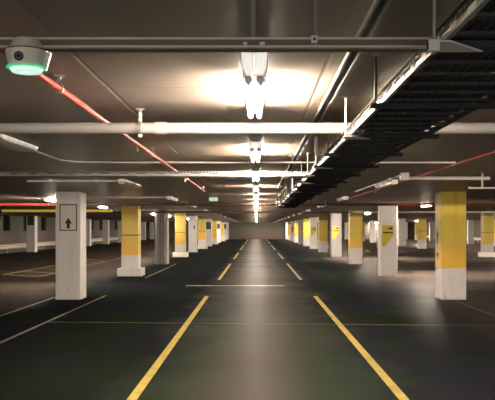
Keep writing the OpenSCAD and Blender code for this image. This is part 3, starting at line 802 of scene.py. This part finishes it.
def main_finish():
    """Red over the bays, dark brown as painted shade over the aisle and left of it; the far main is grey and
    brown.
    """
    f = Finish("main pipe paint")
    side = f.x - AISLE + f.noise(10, 3).spread(-0.01, 0.01)
    right = side.above(real(3.9), real(0.3))
    bays = right + side.below(real(-5.6), real(0.5))
    near = f.y.below(FRONT + real(28))
    brown = (0.050, 0.026, 0.020)
    grey = f.mix(right, brown, (0.60, 0.54, 0.48))
    paint = f.mix(near, grey, f.clouded(colours().red, 0.85, 1.1, 18, 4))
    # painted shade: cloudy dark brown where the pipe hangs in shadow over the aisle and left of it
    shaded_brown = f.clouded(brown, 0.6, 1.6, 25, 3, (0.2, 1, 1))
    return f.surface(f.mix(bays, shaded_brown, paint), 0.42, f.grain())


def ring_finish():
    """The sensor's light: a green rim round a paler lens."""
    f = Finish("sensor light")
    low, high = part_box("sensor_ring")
    centre = (low + high) / 2
    away = (f.x - centre.x).away(f.y - centre.y)
    rim = away.above((high.x - low.x) * 0.41)
    ripples = away.math("SINE", away * 1400).spread(0.92, 1.0)
    lens = f.mix(f.noise(300, 3), (0.62, 1.0, 0.84), (0.80, 1.0, 0.92))
    glow = f.tone(f.mix(rim, lens, (0.03, 0.42, 0.14)), ripples)
    return f.lit((0.30, 0.55, 0.42), glow, 1.0, 0.25)


def eye_finish(x, z):
    """Dark glass with a grey ring round the eye's centre."""
    f = Finish("eye glass")
    ring = (f.x - x).away(f.z - z).between(0.00062, 0.00100, 0.00005)
    base = f.mix(ring, (0.014, 0.012, 0.014), (0.24, 0.22, 0.24))
    return f.surface(f.clouded(base, 0.7, 1.2, 400, 2), 0.15)


def line_finish(name, base, wear=0.25):
    """Road paint on the deck, worn thin in places."""
    f = Finish(name)
    worn = f.noise(40, 5).above(0.56, 0.1)
    tone = f.clouded(f.mix(worn * wear, base, colours().deck), 0.85, 1.1, 9)
    return f.surface(tone, 0.6, f.bump(f.cells(500), 0.00005), Specular_IOR_Level=0.1)


# Camera, floor and light

class CARPARK_OT_camera(bpy.types.Operator):
    """Place the camera in the aisle at eye height, level, looking down it"""

    bl_idname = "carpark.camera"
    bl_label = "Camera"

    def execute(self, context):
        data = bpy.data.cameras.new("eye")
        data.lens = sizes().lens
        data.clip_start, data.clip_end = 0.01, 100
        data.shift_x = (PHOTO_WIDTH / 2 - VANISHING_X) / PHOTO_WIDTH
        data.shift_y = (VANISHING_Y - PHOTO_HEIGHT / 2) / PHOTO_WIDTH
        camera = bpy.data.objects.new("eye", data)
        camera.location = (EYE_X, EYE_Y, DECK + sizes().eye_height)
        camera.rotation_euler = (math.radians(90), 0, 0)
        context.scene.collection.objects.link(camera)
        context.scene.camera = camera
        return {"FINISHED"}


class CARPARK_OT_stage(bpy.types.Operator):
    """Add the pale floor under the model, the soft sky and the studio lamps"""

    bl_idname = "carpark.stage"
    bl_label = "Stage and light"

    def execute(self, context):
        add_floor()
        add_sky()
        add_sun()
        add_fill()
        add_beam("right_beam", 1, 90)
        add_beam("left_beam", -1, 36)
        return {"FINISHED"}


def add_floor():
    """A wide pale floor just under the model."""
    mesh = bmesh.new()
    bmesh.ops.create_grid(mesh, x_segments=1, y_segments=1, size=60)
    data = bpy.data.meshes.new("floor")
    mesh.to_mesh(data)
    mesh.free()
    f = Finish("floor")
    data.materials.append(f.surface(f.clouded((0.80, 0.80, 0.79), 0.99, 1.01, 2, 2), 0.6))
    floor = bpy.data.objects.new("floor", data)
    clearance = 0.0005
    floor.location.z = -clearance
    bpy.context.scene.collection.objects.link(floor)


def add_sky():
    """A pale backdrop to the eye and in reflections, weaker as light."""
    world = bpy.data.worlds.new("sky")
    bpy.context.scene.world = world
    sky = Nodes(world)
    camera, glossy = (
        sky.node("ShaderNodeLightPath", output=ray) for ray in ("Is Camera Ray", "Is Glossy Ray"))
    strength = camera.either(glossy).spread(0.45, 0.95)
    light = sky.node("ShaderNodeBackground", inputs={"Strength": strength})
    sky.node("ShaderNodeOutputWorld", inputs={"Surface": light})


def add_lamp(name, kind, place, turn, **settings):
    """A lamp that shines down before it is turned."""
    data = bpy.data.lights.new(name, kind)
    for key, value in settings.items():
        setattr(data, key, value)
    lamp = bpy.data.objects.new(name, data)
    lamp.location = place
    lamp.rotation_euler = turn
    bpy.context.scene.collection.objects.link(lamp)
    return lamp


def add_sun():
    """Soft studio light from above and behind the left side."""
    turn = (math.radians(38), 0, math.radians(-150))
    add_lamp("key", "SUN", (0, 0, 0), turn, energy=1.9, angle=math.radians(12))


def add_fill():
    """Light from the level's part behind the eye, which the model leaves out."""
    lamp = add_lamp(
        "fill", "AREA", (AISLE, FRONT - 0.25, DECK + 0.14), (math.radians(90), 0, 0),
        shape="RECTANGLE", size=3.6, size_y=0.2, energy=0.35, color=colours().lamp)
    lamp.visible_camera = False
    lamp.visible_glossy = False


def add_beam(name, side, energy):
    """A soft beam from the front onto the first columns of the row on that side."""
    place = Vector((AISLE + side * 0.20, FRONT - 0.40, DECK + 0.12))
    aim = Vector((AISLE + side * 0.412, FRONT + 1.74, DECK + 0.125))
    lamp = add_lamp(
        name, "SPOT", place, (aim - place).to_track_quat("-Z", "Y").to_euler(), energy=energy,
        color=colours().lamp, spot_size=math.radians(17), spot_blend=0.8, shadow_soft_size=0.02)
    lamp.visible_glossy = False


class CARPARK_OT_finishes(bpy.types.Operator):
    """Give every part of the frame its finish"""

    bl_idname = "carpark.finishes"
    bl_label = "Finishes"

    def execute(self, context):
        paint = colours()
        dress(galvanised_finish(), *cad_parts)
        dress(deck_finish(), "deck_slab")
        dress(soffit_finish(), "soffit_slab")
        # the lists give columns by number and share of the light: painted shade below 1, painted light above
        # 1
        for name, row, look in (
            ("paint left of the aisle", "aisle_left", (1, 0.015, ((4, 0.42), (5, 0.5), (6, 0.5)))),
            ("paint right of the aisle", "aisle_right", (0, 0.030, ((1, 1.2), (5, 0.4), (9, 0.5)))),
            ("paint of the middle row", "middle_right", (1, 0.015, ((5, 0.5), (7, 0.7)))),
            ("paint of the outer row", "outer_right", (0,)),
            ("paint of the left row", "outer_left", ()),
        ):
            dress(column_finish(name, *look), "columns_" + row)
        dress(column_finish("plinth paint"), "column_plinths")
        dress(wall_finish("wall paint", paint.wall), "left_wall_sill", "left_wall_piers", "right_wall")
        dress(wall_finish("end wall paint", paint.end_wall), "end_wall")
        dress(plastic_finish("louvre paint", (0.006, 0.010, 0.008), 0.8, 0.0, 0.05), "left_wall_louvres")
        for name, base, rough, dirt, *nodes in (
            ("rail paint", (0.80, 0.73, 0.65), 0.4, 0.1, "guard_rail_left", "guard_rail_right"),
            ("downpipe paint", (0.20, 0.18, 0.16), 0.5, 0.15, "column_downpipes"),
            ("red pipe paint", paint.red, 0.28, 0.12, "sprinkler_pipe_left", "sprinkler_pipe_right"),
            ("branch pipe paint", (0.42, 0.38, 0.34), 0.35, 0.1, "branch_pipes"),
            ("bent conduit", (0.62, 0.59, 0.54), 0.35, 0.1, "bent_conduit"),
            ("drain plastic", (0.42, 0.39, 0.36), 0.32, 0.1, "pvc_drop"),
            ("white enamel", (0.82, 0.81, 0.78), 0.25, 0.05, "side_battens", "bay_lamp_bodies"),
            ("cable sheath", (0.05, 0.05, 0.05), 0.8, 0.0, "tray_cables"),
            ("bracket paint", (0.04, 0.04, 0.04), 0.85, 0.0, "tray_brackets"),
            ("gusset paint", (0.80, 0.77, 0.72), 0.4, 0.1, "gusset_plates"),
            ("sensor base", (0.80, 0.69, 0.57), 0.4, 0.08, "sensor_base"),
            ("sensor shell", (0.90, 0.78, 0.65), 0.35, 0.08, "sensor_body"),
            ("sign plate", (0.66, 0.62, 0.57), 0.35, 0.05, "direction_sign"),
        ):
            dress(plastic_finish(name, base, rough, dirt), *nodes)
        dress(galvanised_finish("brass", (0.60, 0.42, 0.16), 0.25, 0.35), "sprinkler_heads")
        dress(main_finish(), "sprinkler_main")
        dress(drain_finish(), "drain_pipe")
        dress(strut_finish(), "conduits")
        dress(tray_finish(), "main_tray")
        dress(rod_finish(), "tray_rods")
        dress(cross_tray_finish(), "cross_tray")
        dress(trunking_finish(), "sensor_trunking")
        dress(ring_finish(), "sensor_ring")
        dress(lamp_body_finish(), "lamp_bodies")
        dress(tube_finish("lit tube", False), "lamp_tubes")
        dress(tube_finish("lit tube over the bays", True), "bay_lamp_tubes")
        dress(glowing_finish("exit sign light", (0.10, 0.42, 0.20), 0.7), "exit_sign")
        # the height bar is no lamp: its glow is painted light
        dress(glowing_finish("bar paint with painted glow", (0.42, 0.30, 0.035), 0.45, (0.85, 0.66, 0.10)), "height_bar")
        return {"FINISHED"}


class CARPARK_OT_markings(bpy.types.Operator):
    """Paint the lines of the aisle and of the parking bays on the deck"""

    bl_idname = "carpark.markings"
    bl_label = "Deck markings"

    def execute(self, context):
        yellow = line_finish("line paint", colours().lines)
        faded = line_finish("faded line paint", (0.52, 0.46, 0.38), 0.4)
        thin = line_finish("thin line paint", (0.14, 0.14, 0.07), 0.4)
        pale = line_finish("pale line paint", (0.26, 0.23, 0.18), 0.4)
        add_aisle_lines(yellow, faded)
        add_thin_lines(thin)
        add_bay_lines(pale)
        add_hatching(yellow, pale)
        return {"FINISHED"}


def add_aisle_lines(yellow, faded):
    """Broken lines beside the lane, bright near the front and faded further on, and a bar across it."""
    near, far = bmesh.new(), bmesh.new()
    width = sizes().line_width / SCALE
    for x, mesh in ((-1.26, near), (1.28, far)):
        add_stripe(near, x, 0.3, x, 18.3, width)
        for start, end in ((24.0, 34.7), (39.9, 49.5), (56.2, 72.2), (78.0, 90.0), (96.0, 108.0)):
            add_stripe(mesh, x, start, x, end, width)
    bar, bar_width = 21.55, 0.24
    for x0, x1, mesh in ((-2.05, -0.73, far), (-0.73, -0.34, near), (-0.34, 0.67, far)):
        add_stripe(mesh, x0, bar, x1, bar, bar_width)
    add_piece("aisle_lines", near, yellow)
    add_piece("far_aisle_lines", far, faded)


def add_thin_lines(material):
    """Thin lines along the column rows and one across the level."""
    mesh = bmesh.new()
    for line in (
        (-3.67, 8, -3.67, 18.5, 0.06), (-3.67, 24.9, -3.67, 34.6, 0.06), (-4.76, 10, -4.76, 18.1, 0.06),
        (4.25, 11, 4.25, 17.0, 0.05), (-3.70, 13.3, 5.0, 12.75, 0.045),
    ):
        add_stripe(mesh, *line)
    add_piece("thin_lines", mesh, material)


def add_bay_lines(material):
    """A line beside each parking bay, three bays between two columns; none at the front beside the aisle."""
    mesh = bmesh.new()
    for k in range(1, 3 * COLUMNS):
        y = (FIRST_COLUMN - FRONT + k * STALL) / SCALE
        if y > 46:
            add_stripe(mesh, -9.5, y, -5.2, y, 0.08)
        if y > 19:
            add_stripe(mesh, 5.2, y, 9.6, y - 0.8, 0.07)
        add_stripe(mesh, 13.2, y, 17.8, y, 0.07)
    add_piece("bay_lines", mesh, material)


def add_hatching(yellow, pale):
    """A hatched corner where nobody parks, with a pale line beyond it."""
    outline, bars = bmesh.new(), bmesh.new()
    left = ((-8.80, 26.6), (-8.55, 39.5))
    right = ((-7.25, 25.6), (-7.35, 37.0))
    width, gaps = 0.09, 6
    for start, end in (left, (left[0], right[0]), (left[1], right[1])):
        add_stripe(outline, *start, *end, width)
    add_stripe(bars, *right[0], right[1][0], 46, width)
    for k in range(1, gaps):
        start, end = ([a + (b - a) * k / gaps for a, b in zip(*side)] for side in (left, right))
        add_stripe(bars, *start, *end, width)
    add_piece("hatching", outline, yellow)
    add_piece("hatch_bars", bars, pale)


class CARPARK_OT_signs(bpy.types.Operator):
    """Add the arrows, borders, plates and dark lines on the columns"""

    bl_idname = "carpark.signs"
    bl_label = "Signs and column lines"

    def execute(self, context):
        ink = plastic_finish("sign ink", (0.02, 0.02, 0.02), 0.45, 0.0)
        add_direction_sign(ink)
        add_column_lines(ink)
        add_patches(ink)
        add_plates(ink)
        return {"FINISHED"}


def add_direction_sign(ink):
    """A border round the plate and an arrow that points up."""
    mesh = bmesh.new()
    low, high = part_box("direction_sign")
    inset, width = reals(0.02, 0.022)
    x0, x1 = low.x + inset, high.x - inset
    z0, z1 = low.z + inset, high.z - inset
    for left, right, foot, head in frame_bars(x0, x1, z0, z1, width):
        add_block(mesh, (left, low.y - PAINT, foot), (right, low.y, head))
    add_arrow(mesh, Vector(((low.x + high.x) / 2, low.y, low.z + real(0.07))), 0.17, 0.24)
    add_piece("sign_ink", mesh, ink)


def add_column_lines(ink):
    """A thin dark line round each yellow column of the left aisle row and of the middle right row."""
    mesh = bmesh.new()
    foot = DECK + real(1.35)
    head = foot + real(0.03)
    for node in ("columns_aisle_left", "columns_middle_right"):
        low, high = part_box(node)
        for i in range(1, COLUMNS, 2):
            y0 = column_front(i) - PAINT
            y1 = y0 + COLUMN_DEPTH + 2 * PAINT
            for left, right, front, back in frame_bars(low.x - PAINT, high.x + PAINT, y0, y1, PAINT):
                add_block(mesh, (left, front, foot), (right, back, head))
    add_piece("column_lines", mesh, ink)


def add_patches(ink):
    """Small arrow signs on the white columns of the aisle's right row."""
    plates, arrows = bmesh.new(), bmesh.new()
    width, height = reals(0.39, 0.70)
    length, thick = width * 0.85, real(0.045)
    outline = [(u * width, v * height) for u, v in ((0, 0), (0.25, 0), (1, 0.55), (1, 1), (0, 1))]
    bar = ((0, 0), (length, 0), (length, thick), (0, thick))
    for i in range(1, COLUMNS, 2):
        corner = Vector((RIGHT_LOW.x + real(0.05), column_front(i), DECK + real(0.99)))
        add_prism(plates, outline, corner)
        add_prism(arrows, bar, corner + Vector((width * 0.08, -PAINT, height * 0.62)))
        start = corner + Vector((width * 0.48, -PAINT, height * 0.85))
        add_arrow(arrows, start, 0.12, 0.18, -UP, ACROSS)
    add_piece("column_patches", plates, line_finish("patch paint", (0.60, 0.48, 0.05), 0.1))
    add_piece("patch_arrows", arrows, ink)


def add_plates(ink):
    """Plain dark green plates on the far columns, a small arrow and two marks on near ones."""
    plates, arrows = bmesh.new(), bmesh.new()
    width, height = reals(0.44, 0.62)
    left, outer = row_middle("columns_aisle_left"), row_middle("columns_outer_left")
    for x, i, foot in ((left, 8, 1.5), (left, 10, 1.5), (left, 12, 1.5), (outer, 6, 1.78)):
        front, z = column_front(i), DECK + real(foot)
        add_block(plates, (x - width / 2, front - real(0.02), z), (x + width / 2, front, z + height))
    add_arrow(arrows, Vector((left + real(0.1), column_front(6), DECK + real(1.5))), 0.16, 0.30)
    middle = column_front(2) + COLUMN_DEPTH / 2 + real(0.04)
    for foot, high in ((1.25, 0.34), (0.93, 0.12)):
        add_arrow(arrows, Vector((RIGHT_LOW.x, middle, DECK + real(foot))), 0.22, high, -ALONG)
    green = plastic_finish("green plate", (0.022, 0.055, 0.035), 0.4, 0.1)
    add_piece("green_plates", plates, green)
    add_piece("small_arrows", arrows, ink)


class CARPARK_OT_concrete(bpy.types.Operator):
    """Add the plinths of the middle row and the pilasters on the end wall"""

    bl_idname = "carpark.concrete"
    bl_label = "Plinths and pilasters"

    def execute(self, context):
        add_plinths()
        add_pilasters()
        return {"FINISHED"}


def add_plinths():
    """A chamfered plinth round every second column at the front of the middle row."""
    mesh = bmesh.new()
    x = row_middle("columns_middle_right")
    out, height, bevel = reals(0.12, 0.26, 0.02)
    half_x, half_y = COLUMN_WIDTH / 2, COLUMN_DEPTH / 2
    corners = ((-1, -1), (1, -1), (1, 1), (-1, 1))
    profile = ((out, 0), (out, height - bevel), (out - bevel, height), (-bevel, height))
    for y in (column_front(i) + half_y for i in (1, 3, 5)):
        add_rings(mesh, [
            [(x + u * (half_x + grow), y + v * (half_y + grow), DECK + z) for u, v in corners]
            for grow, z in profile])
    add_piece("middle_plinths", mesh, column_finish("middle plinth paint"))


def add_pilasters():
    """Half columns against the end wall, one behind each row."""
    mesh = bmesh.new()
    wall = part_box("end_wall")[0].y
    depth, bevel = reals(0.22, 0.015)
    outline = chamfered(COLUMN_WIDTH / 2, depth, bevel, bevel)
    for row in ("aisle_left", "aisle_right", "outer_left", "middle_right", "outer_right"):
        foot = Vector((row_middle("columns_" + row), wall, DECK))
        add_prism(mesh, outline, foot, ACROSS, ALONG, HEADROOM)
    add_piece("end_pilasters", mesh, column_finish("pilaster paint"))


class CARPARK_OT_sensor(bpy.types.Operator):
    """Add the sensor's eye, joint and fin, and the clips and box of its trunking"""

    bl_idname = "carpark.sensor"
    bl_label = "Sensor and trunking details"

    def execute(self, context):
        low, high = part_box("sensor_body")
        centre = (low + high) / 2
        white = plastic_finish("clip plastic", (0.82, 0.79, 0.74), 0.3, 0.03)
        black = plastic_finish("joint rubber", (0.03, 0.027, 0.024), 0.6, 0.0)
        add_joint(centre, high.z, (high.x - low.x) / 2, black)
        add_eye(centre, low.y)
        add_fin(centre, high.z, white)
        add_clips(white, black)
        return {"FINISHED"}


def add_joint(centre, top, radius, material):
    """A dark rubber joint between the base and the body."""
    mesh = bmesh.new()
    skin, height = 0.00006, 0.0003
    profile = ((radius, 0), (radius + skin, 0), (radius + skin, height), (radius, height))
    add_turned(mesh, profile, (centre.x, centre.y, top - height / 2), segments=48)
    add_piece("sensor_joint", mesh, material)


def add_eye(centre, front):
    """A bezel with a glass eye in the front of the body."""
    mesh = bmesh.new()
    x, y, z = centre.x - 0.0006, front + 0.0006, centre.z - 0.0003
    profile = ((0.0014, -0.0008), (0.0014, 0.0003), (0.0012, 0.0005), (0.00095, 0.0002), (0.0005, 0.00045))
    add_turned(mesh, profile, (x, y, z), "Y")
    add_piece("sensor_eye", mesh, eye_finish(x, z))


def add_fin(centre, top, material):
    """A white fin on the right of the body."""
    mesh = bmesh.new()
    outline = ((0.0062, 0.0), (0.0076, -0.0003), (0.0061, -0.0056), (0.0053, -0.0046))
    start = Vector((centre.x, centre.y + 0.0008, top - 0.0004))
    add_prism(mesh, outline, start, thickness=0.0016)
    add_piece("sensor_fin", mesh, material)


def add_clips(white, black):
    """Two clips and a small box with an eyelet on the trunking's front, and an end plate at the gussets."""
    clips, eyelet = bmesh.new(), bmesh.new()
    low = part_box("sensor_trunking")[0]
    start = Vector((AISLE, low.y, low.z))
    deep, box_out = reals(0.004, 0.016)
    clip = reals(0.006, 0.0065, 0.0150)
    box = (box_out, *reals(0.010, 0.033))
    for x, width, (out, foot, head) in (
        (-0.14, 0.013, clip), (-0.087, 0.016, clip), (0.076, 0.019, box),
    ):
        near, far = Vector((real(x), -out, foot)), Vector((real(x) + real(width), deep, head))
        add_block(clips, start + near, start + far)
    radius = real(0.0045)
    profile = ((radius, -0.0001), (radius, 0.0002), (radius * 0.5, 0.00005))
    add_turned(eyelet, profile, start + Vector((real(0.0855), -box_out, real(0.0215))), "Y", 16)
    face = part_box("gusset_plates")[0].y
    # The end plate's edges in the photo, in pixels
    left, top, right, bottom = 428.8, 39.5, 439.6, 50.4
    add_block(clips, seen(left, bottom, face - real(0.003)), seen(right, top, face))
    add_piece("trunking_clips", clips, white)
    add_piece("trunking_eyelet", eyelet, black)


class CARPARK_OT_fixings(bpy.types.Operator):
    """Add plates at the rods, drain clips, rail bolts, slots, batten covers, conduits and vent frames"""

    bl_idname = "carpark.fixings"
    bl_label = "Fixings"

    def execute(self, context):
        zinc = galvanised_finish("fixing zinc", (0.55, 0.52, 0.48))
        add_rod_plates(zinc)
        add_drain_clips()
        add_rail_bolts(zinc)
        add_slots()
        add_liner(zinc)
        add_side_covers()
        add_batten_feeds()
        add_vent_frames()
        return {"FINISHED"}


def tray_rods():
    """Where the tray's first rod stands, and the step from rod to rod."""
    low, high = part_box("tray_rods")
    return low.y + TRAY_ROD, (high.y - low.y - 2 * TRAY_ROD) / (TRAY_HANGERS - 1)


def drain_line(y, z):
    """The places of the drain pipe's hangers as a line to repeat along."""
    low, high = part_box("drain_hangers")
    count = round((high.x - low.x) / DRAIN_STEP) + 1
    return count, (low.x + DRAIN_ROD, y, z), (DRAIN_STEP, 0, 0)


def add_rod_plates(material):
    """A square plate and a nut at the top of each rod of the tray, drain pipe and left sprinkler pipe."""
    shape = bmesh.new()
    half, thin, nut = reals(0.028, 0.006, 0.014)
    add_block(shape, (-half, -half, -thin), (half, half, 0))
    add_turned(shape, ((nut, -thin - real(0.012)), (nut, -thin)), (0, 0, 0), segments=6)
    low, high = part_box("tray_rods")
    first, step = tray_rods()
    lines = [(TRAY_HANGERS, (x, first, SOFFIT), (0, step, 0)) for x in (low.x + TRAY_ROD, high.x - TRAY_ROD)]
    low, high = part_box("drain_hangers")
    lines.append(drain_line((low.y + high.y) / 2, SOFFIT))
    low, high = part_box("sprinkler_pipe_left")
    start = ((low.x + high.x) / 2, FRONT + real(0.6), SOFFIT)
    lines.append((SPRINKLER_HANGERS, start, (0, real(3.7), 0)))
    add_repeats("rod_plates", shape, lines, material, math.radians(40))


def add_drain_clips():
    """Lugs, bolts and a turned sleeve on each clamp of the drain pipe."""
    shape = bmesh.new()
    low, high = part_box("drain_pipe")
    centre = (low + high) / 2
    radius = (high.z - low.z) / 2
    wide, deep, bolt, bolt_end = reals(0.012, 0.010, 0.007, 0.018)
    for sign, reach in ((1, 0.026), (-1, 0.018)):
        inner, outer = sorted((sign * radius * 0.98, sign * (radius + real(reach))))
        add_block(shape, (-wide, -deep, inner), (wide, deep, outer))
        bolt_place = (0, 0, sign * (radius + real(0.012)))
        add_turned(shape, ((bolt, -bolt_end), (bolt, bolt_end)), bolt_place, "Y", 6)
    sleeve = [reals(*point) for point in ((0.009, 0), (0.013, 0.006), (0.013, 0.026), (0.009, 0.032))]
    add_turned(shape, sleeve, (0, 0, radius + real(0.030)), segments=12)
    white = plastic_finish("drain clip paint", (0.80, 0.77, 0.72), 0.3, 0.05)
    add_repeats("drain_clips", shape, [drain_line(centre.y, centre.z)], white)


def add_rail_bolts(material):
    """A bolt head through each guard rail at every post."""
    shape = bmesh.new()
    head = [reals(*point) for point in ((0.016, -0.007), (0.016, 0.004), (0.010, 0.010))]
    add_turned(shape, head, (0, 0, 0), "X", 6)
    low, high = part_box("rail_posts")
    post, inset = reals(0.06, 0.018)
    step = (high.y - low.y - post) / (RAIL_POSTS - 1)
    left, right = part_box("guard_rail_left"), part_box("guard_rail_right")
    lines = [
        (RAIL_POSTS, (x, low.y + post / 2, (rail[0].z + rail[1].z) / 2), (0, step, 0))
        for x, rail in ((left[0].x + inset, left), (right[1].x - inset, right))]
    add_repeats("rail_bolts", shape, lines, material)


def add_slots():
    """Fine slots along the upper edges of the cross tray's sides and high on the main tray's side."""
    black = plastic_finish("slot shadow", (0.012, 0.011, 0.010), 0.7, 0.0)
    half = real(0.010)
    low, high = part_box("cross_tray")
    step = real(0.035)
    starts = [(low.x + step / 2, y, high.z - real(0.009)) for y in (low.y, high.y)]
    lines = [(int((high.x - low.x) / step), start, (step, 0, 0)) for start in starts]
    add_repeats("cross_tray_slots", slot_mark(half, PAINT, real(0.007)), lines, black)
    low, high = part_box("main_tray")
    step = real(0.055)
    start = (low.x + real(0.010), low.y + step / 2, low.z + real(0.048))
    lines = [(int((high.y - low.y) / step), start, (0, step, 0))]
    add_repeats("tray_side_slots", slot_mark(PAINT, half, real(0.005)), lines, black)


def slot_mark(*halves):
    """A block with these halves of its sides, its middle at the origin."""
    mesh = bmesh.new()
    corner = Vector(halves)
    add_block(mesh, -corner, corner)
    return mesh


def add_liner(material):
    """A closed liner behind the long slots of the tray's side."""
    mesh = bmesh.new()
    low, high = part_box("main_tray")
    inset, thick, end = reals(0.0145, 0.003, 0.02)
    x = low.x + inset
    foot = low.z + real(0.0178)
    add_block(mesh, (x, low.y + end, foot), (x + thick, high.y - end, low.z + TRAY_SHINE))
    add_piece("tray_liner", mesh, material)


def add_side_covers():
    """A chamfered opal cover under each unlit batten beside the aisle."""
    shape = bmesh.new()
    half, deep, length, inset = reals(0.062, 0.027, 1.45, 0.06)
    add_prism(shape, chamfered(half, deep, half * 0.3, deep * 0.6), Vector((0, 0, 0)), thickness=length)
    low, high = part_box("side_battens")
    count = round((high.y - low.y) / SIDE_PITCH)
    start = Vector((low.x + inset, low.y + real(1.5), SOFFIT - real(0.05)))
    right = Vector((high.x - inset, start.y + SIDE_PITCH, start.z))
    step = (0, SIDE_PITCH, 0)
    cover = plastic_finish("opal cover", (0.82, 0.78, 0.72), 0.4, 0.05)
    add_repeats("side_covers", shape, [(count, start, step), (count - 1, right, step)], cover)


def add_batten_feeds():
    """A conduit on the soffit with two saddles, from beside the left columns to each batten but the first."""
    shape = bmesh.new()
    low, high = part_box("side_battens")
    start = AISLE - real(3.92)
    length = low.x + real(0.01) - start
    radius, drop, half, reach = reals(0.016, 0.028, 0.015, 0.035)
    add_turned(shape, ((radius, 0), (radius, length)), (0, 0, 0), "X", 16)
    grip = radius * 1.2
    for x in (length * 0.25, length * 0.75):
        add_block(shape, (x - half, -reach, 0), (x + half, reach, drop))
        add_block(shape, (x - half, -grip, -grip), (x + half, grip, 0))
    count = round((high.y - low.y) / SIDE_PITCH) - 1
    lines = [(count, (start, low.y + SIDE_PITCH + real(0.06), SOFFIT - drop), (0, SIDE_PITCH, 0))]
    paint = plastic_finish("feed paint", (0.70, 0.66, 0.60), 0.35, 0.1)
    add_repeats("batten_feeds", shape, lines, paint)


def add_vent_frames():
    """A pressed frame round each vent slot of the left wall, on its inner face."""
    shape = bmesh.new()
    sill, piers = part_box("left_wall_sill")[1].z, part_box("left_wall_piers")[1]
    height = piers.z - sill
    half, bar, proud = reals(0.60, 0.05, 0.02)
    add_block(shape, (0, -half - bar, 0), (proud, -half, height))
    add_block(shape, (0, half, 0), (proud, half + bar, height))
    add_block(shape, (0, -half, 0), (proud * 0.8, half, bar))
    lines = [(2 * COLUMNS, (piers.x, column_front(0) + BAY / 4, sill), (0, BAY / 2, 0))]
    steel = plastic_finish("vent frame paint", (0.045, 0.055, 0.040), 0.7, 0.1, 0.1)
    add_repeats("vent_frames", shape, lines, steel)


class CARPARK_PT_level(bpy.types.Panel):
    """Lists the steps that dress the level"""

    bl_idname = "CARPARK_PT_level"
    bl_label = "Car park level"
    bl_space_type = "VIEW_3D"
    bl_region_type = "UI"
    bl_category = "Car park"

    def draw(self, context):
        for step in STEPS:
            self.layout.operator(step.bl_idname)
        for group in (sizes(), colours()):
            for key in group.__annotations__:
                self.layout.prop(group, key)


STEPS = (
    CARPARK_OT_camera,
    CARPARK_OT_stage,
    CARPARK_OT_finishes,
    CARPARK_OT_markings,
    CARPARK_OT_signs,
    CARPARK_OT_concrete,
    CARPARK_OT_sensor,
    CARPARK_OT_fixings,
)
CLASSES = (LevelColours, LevelSizes, *STEPS, CARPARK_PT_level)


def register():
    for item in CLASSES:
        bpy.utils.register_class(item)
    bpy.types.Scene.level_colours = PointerProperty(type=LevelColours)
    bpy.types.Scene.level_sizes = PointerProperty(type=LevelSizes)


def unregister():
    del bpy.types.Scene.level_colours
    del bpy.types.Scene.level_sizes
    for item in reversed(CLASSES):
        bpy.utils.unregister_class(item)


def main():
    """Dresses the level step by step."""
    register()
    bpy.context.scene.view_settings.view_transform = "Standard"
    bpy.ops.carpark.camera()
    bpy.ops.carpark.stage()
    bpy.ops.carpark.finishes()
    bpy.ops.carpark.markings()
    bpy.ops.carpark.signs()
    bpy.ops.carpark.concrete()
    bpy.ops.carpark.sensor()
    bpy.ops.carpark.fixings()


if __name__ == "__main__":
    main()
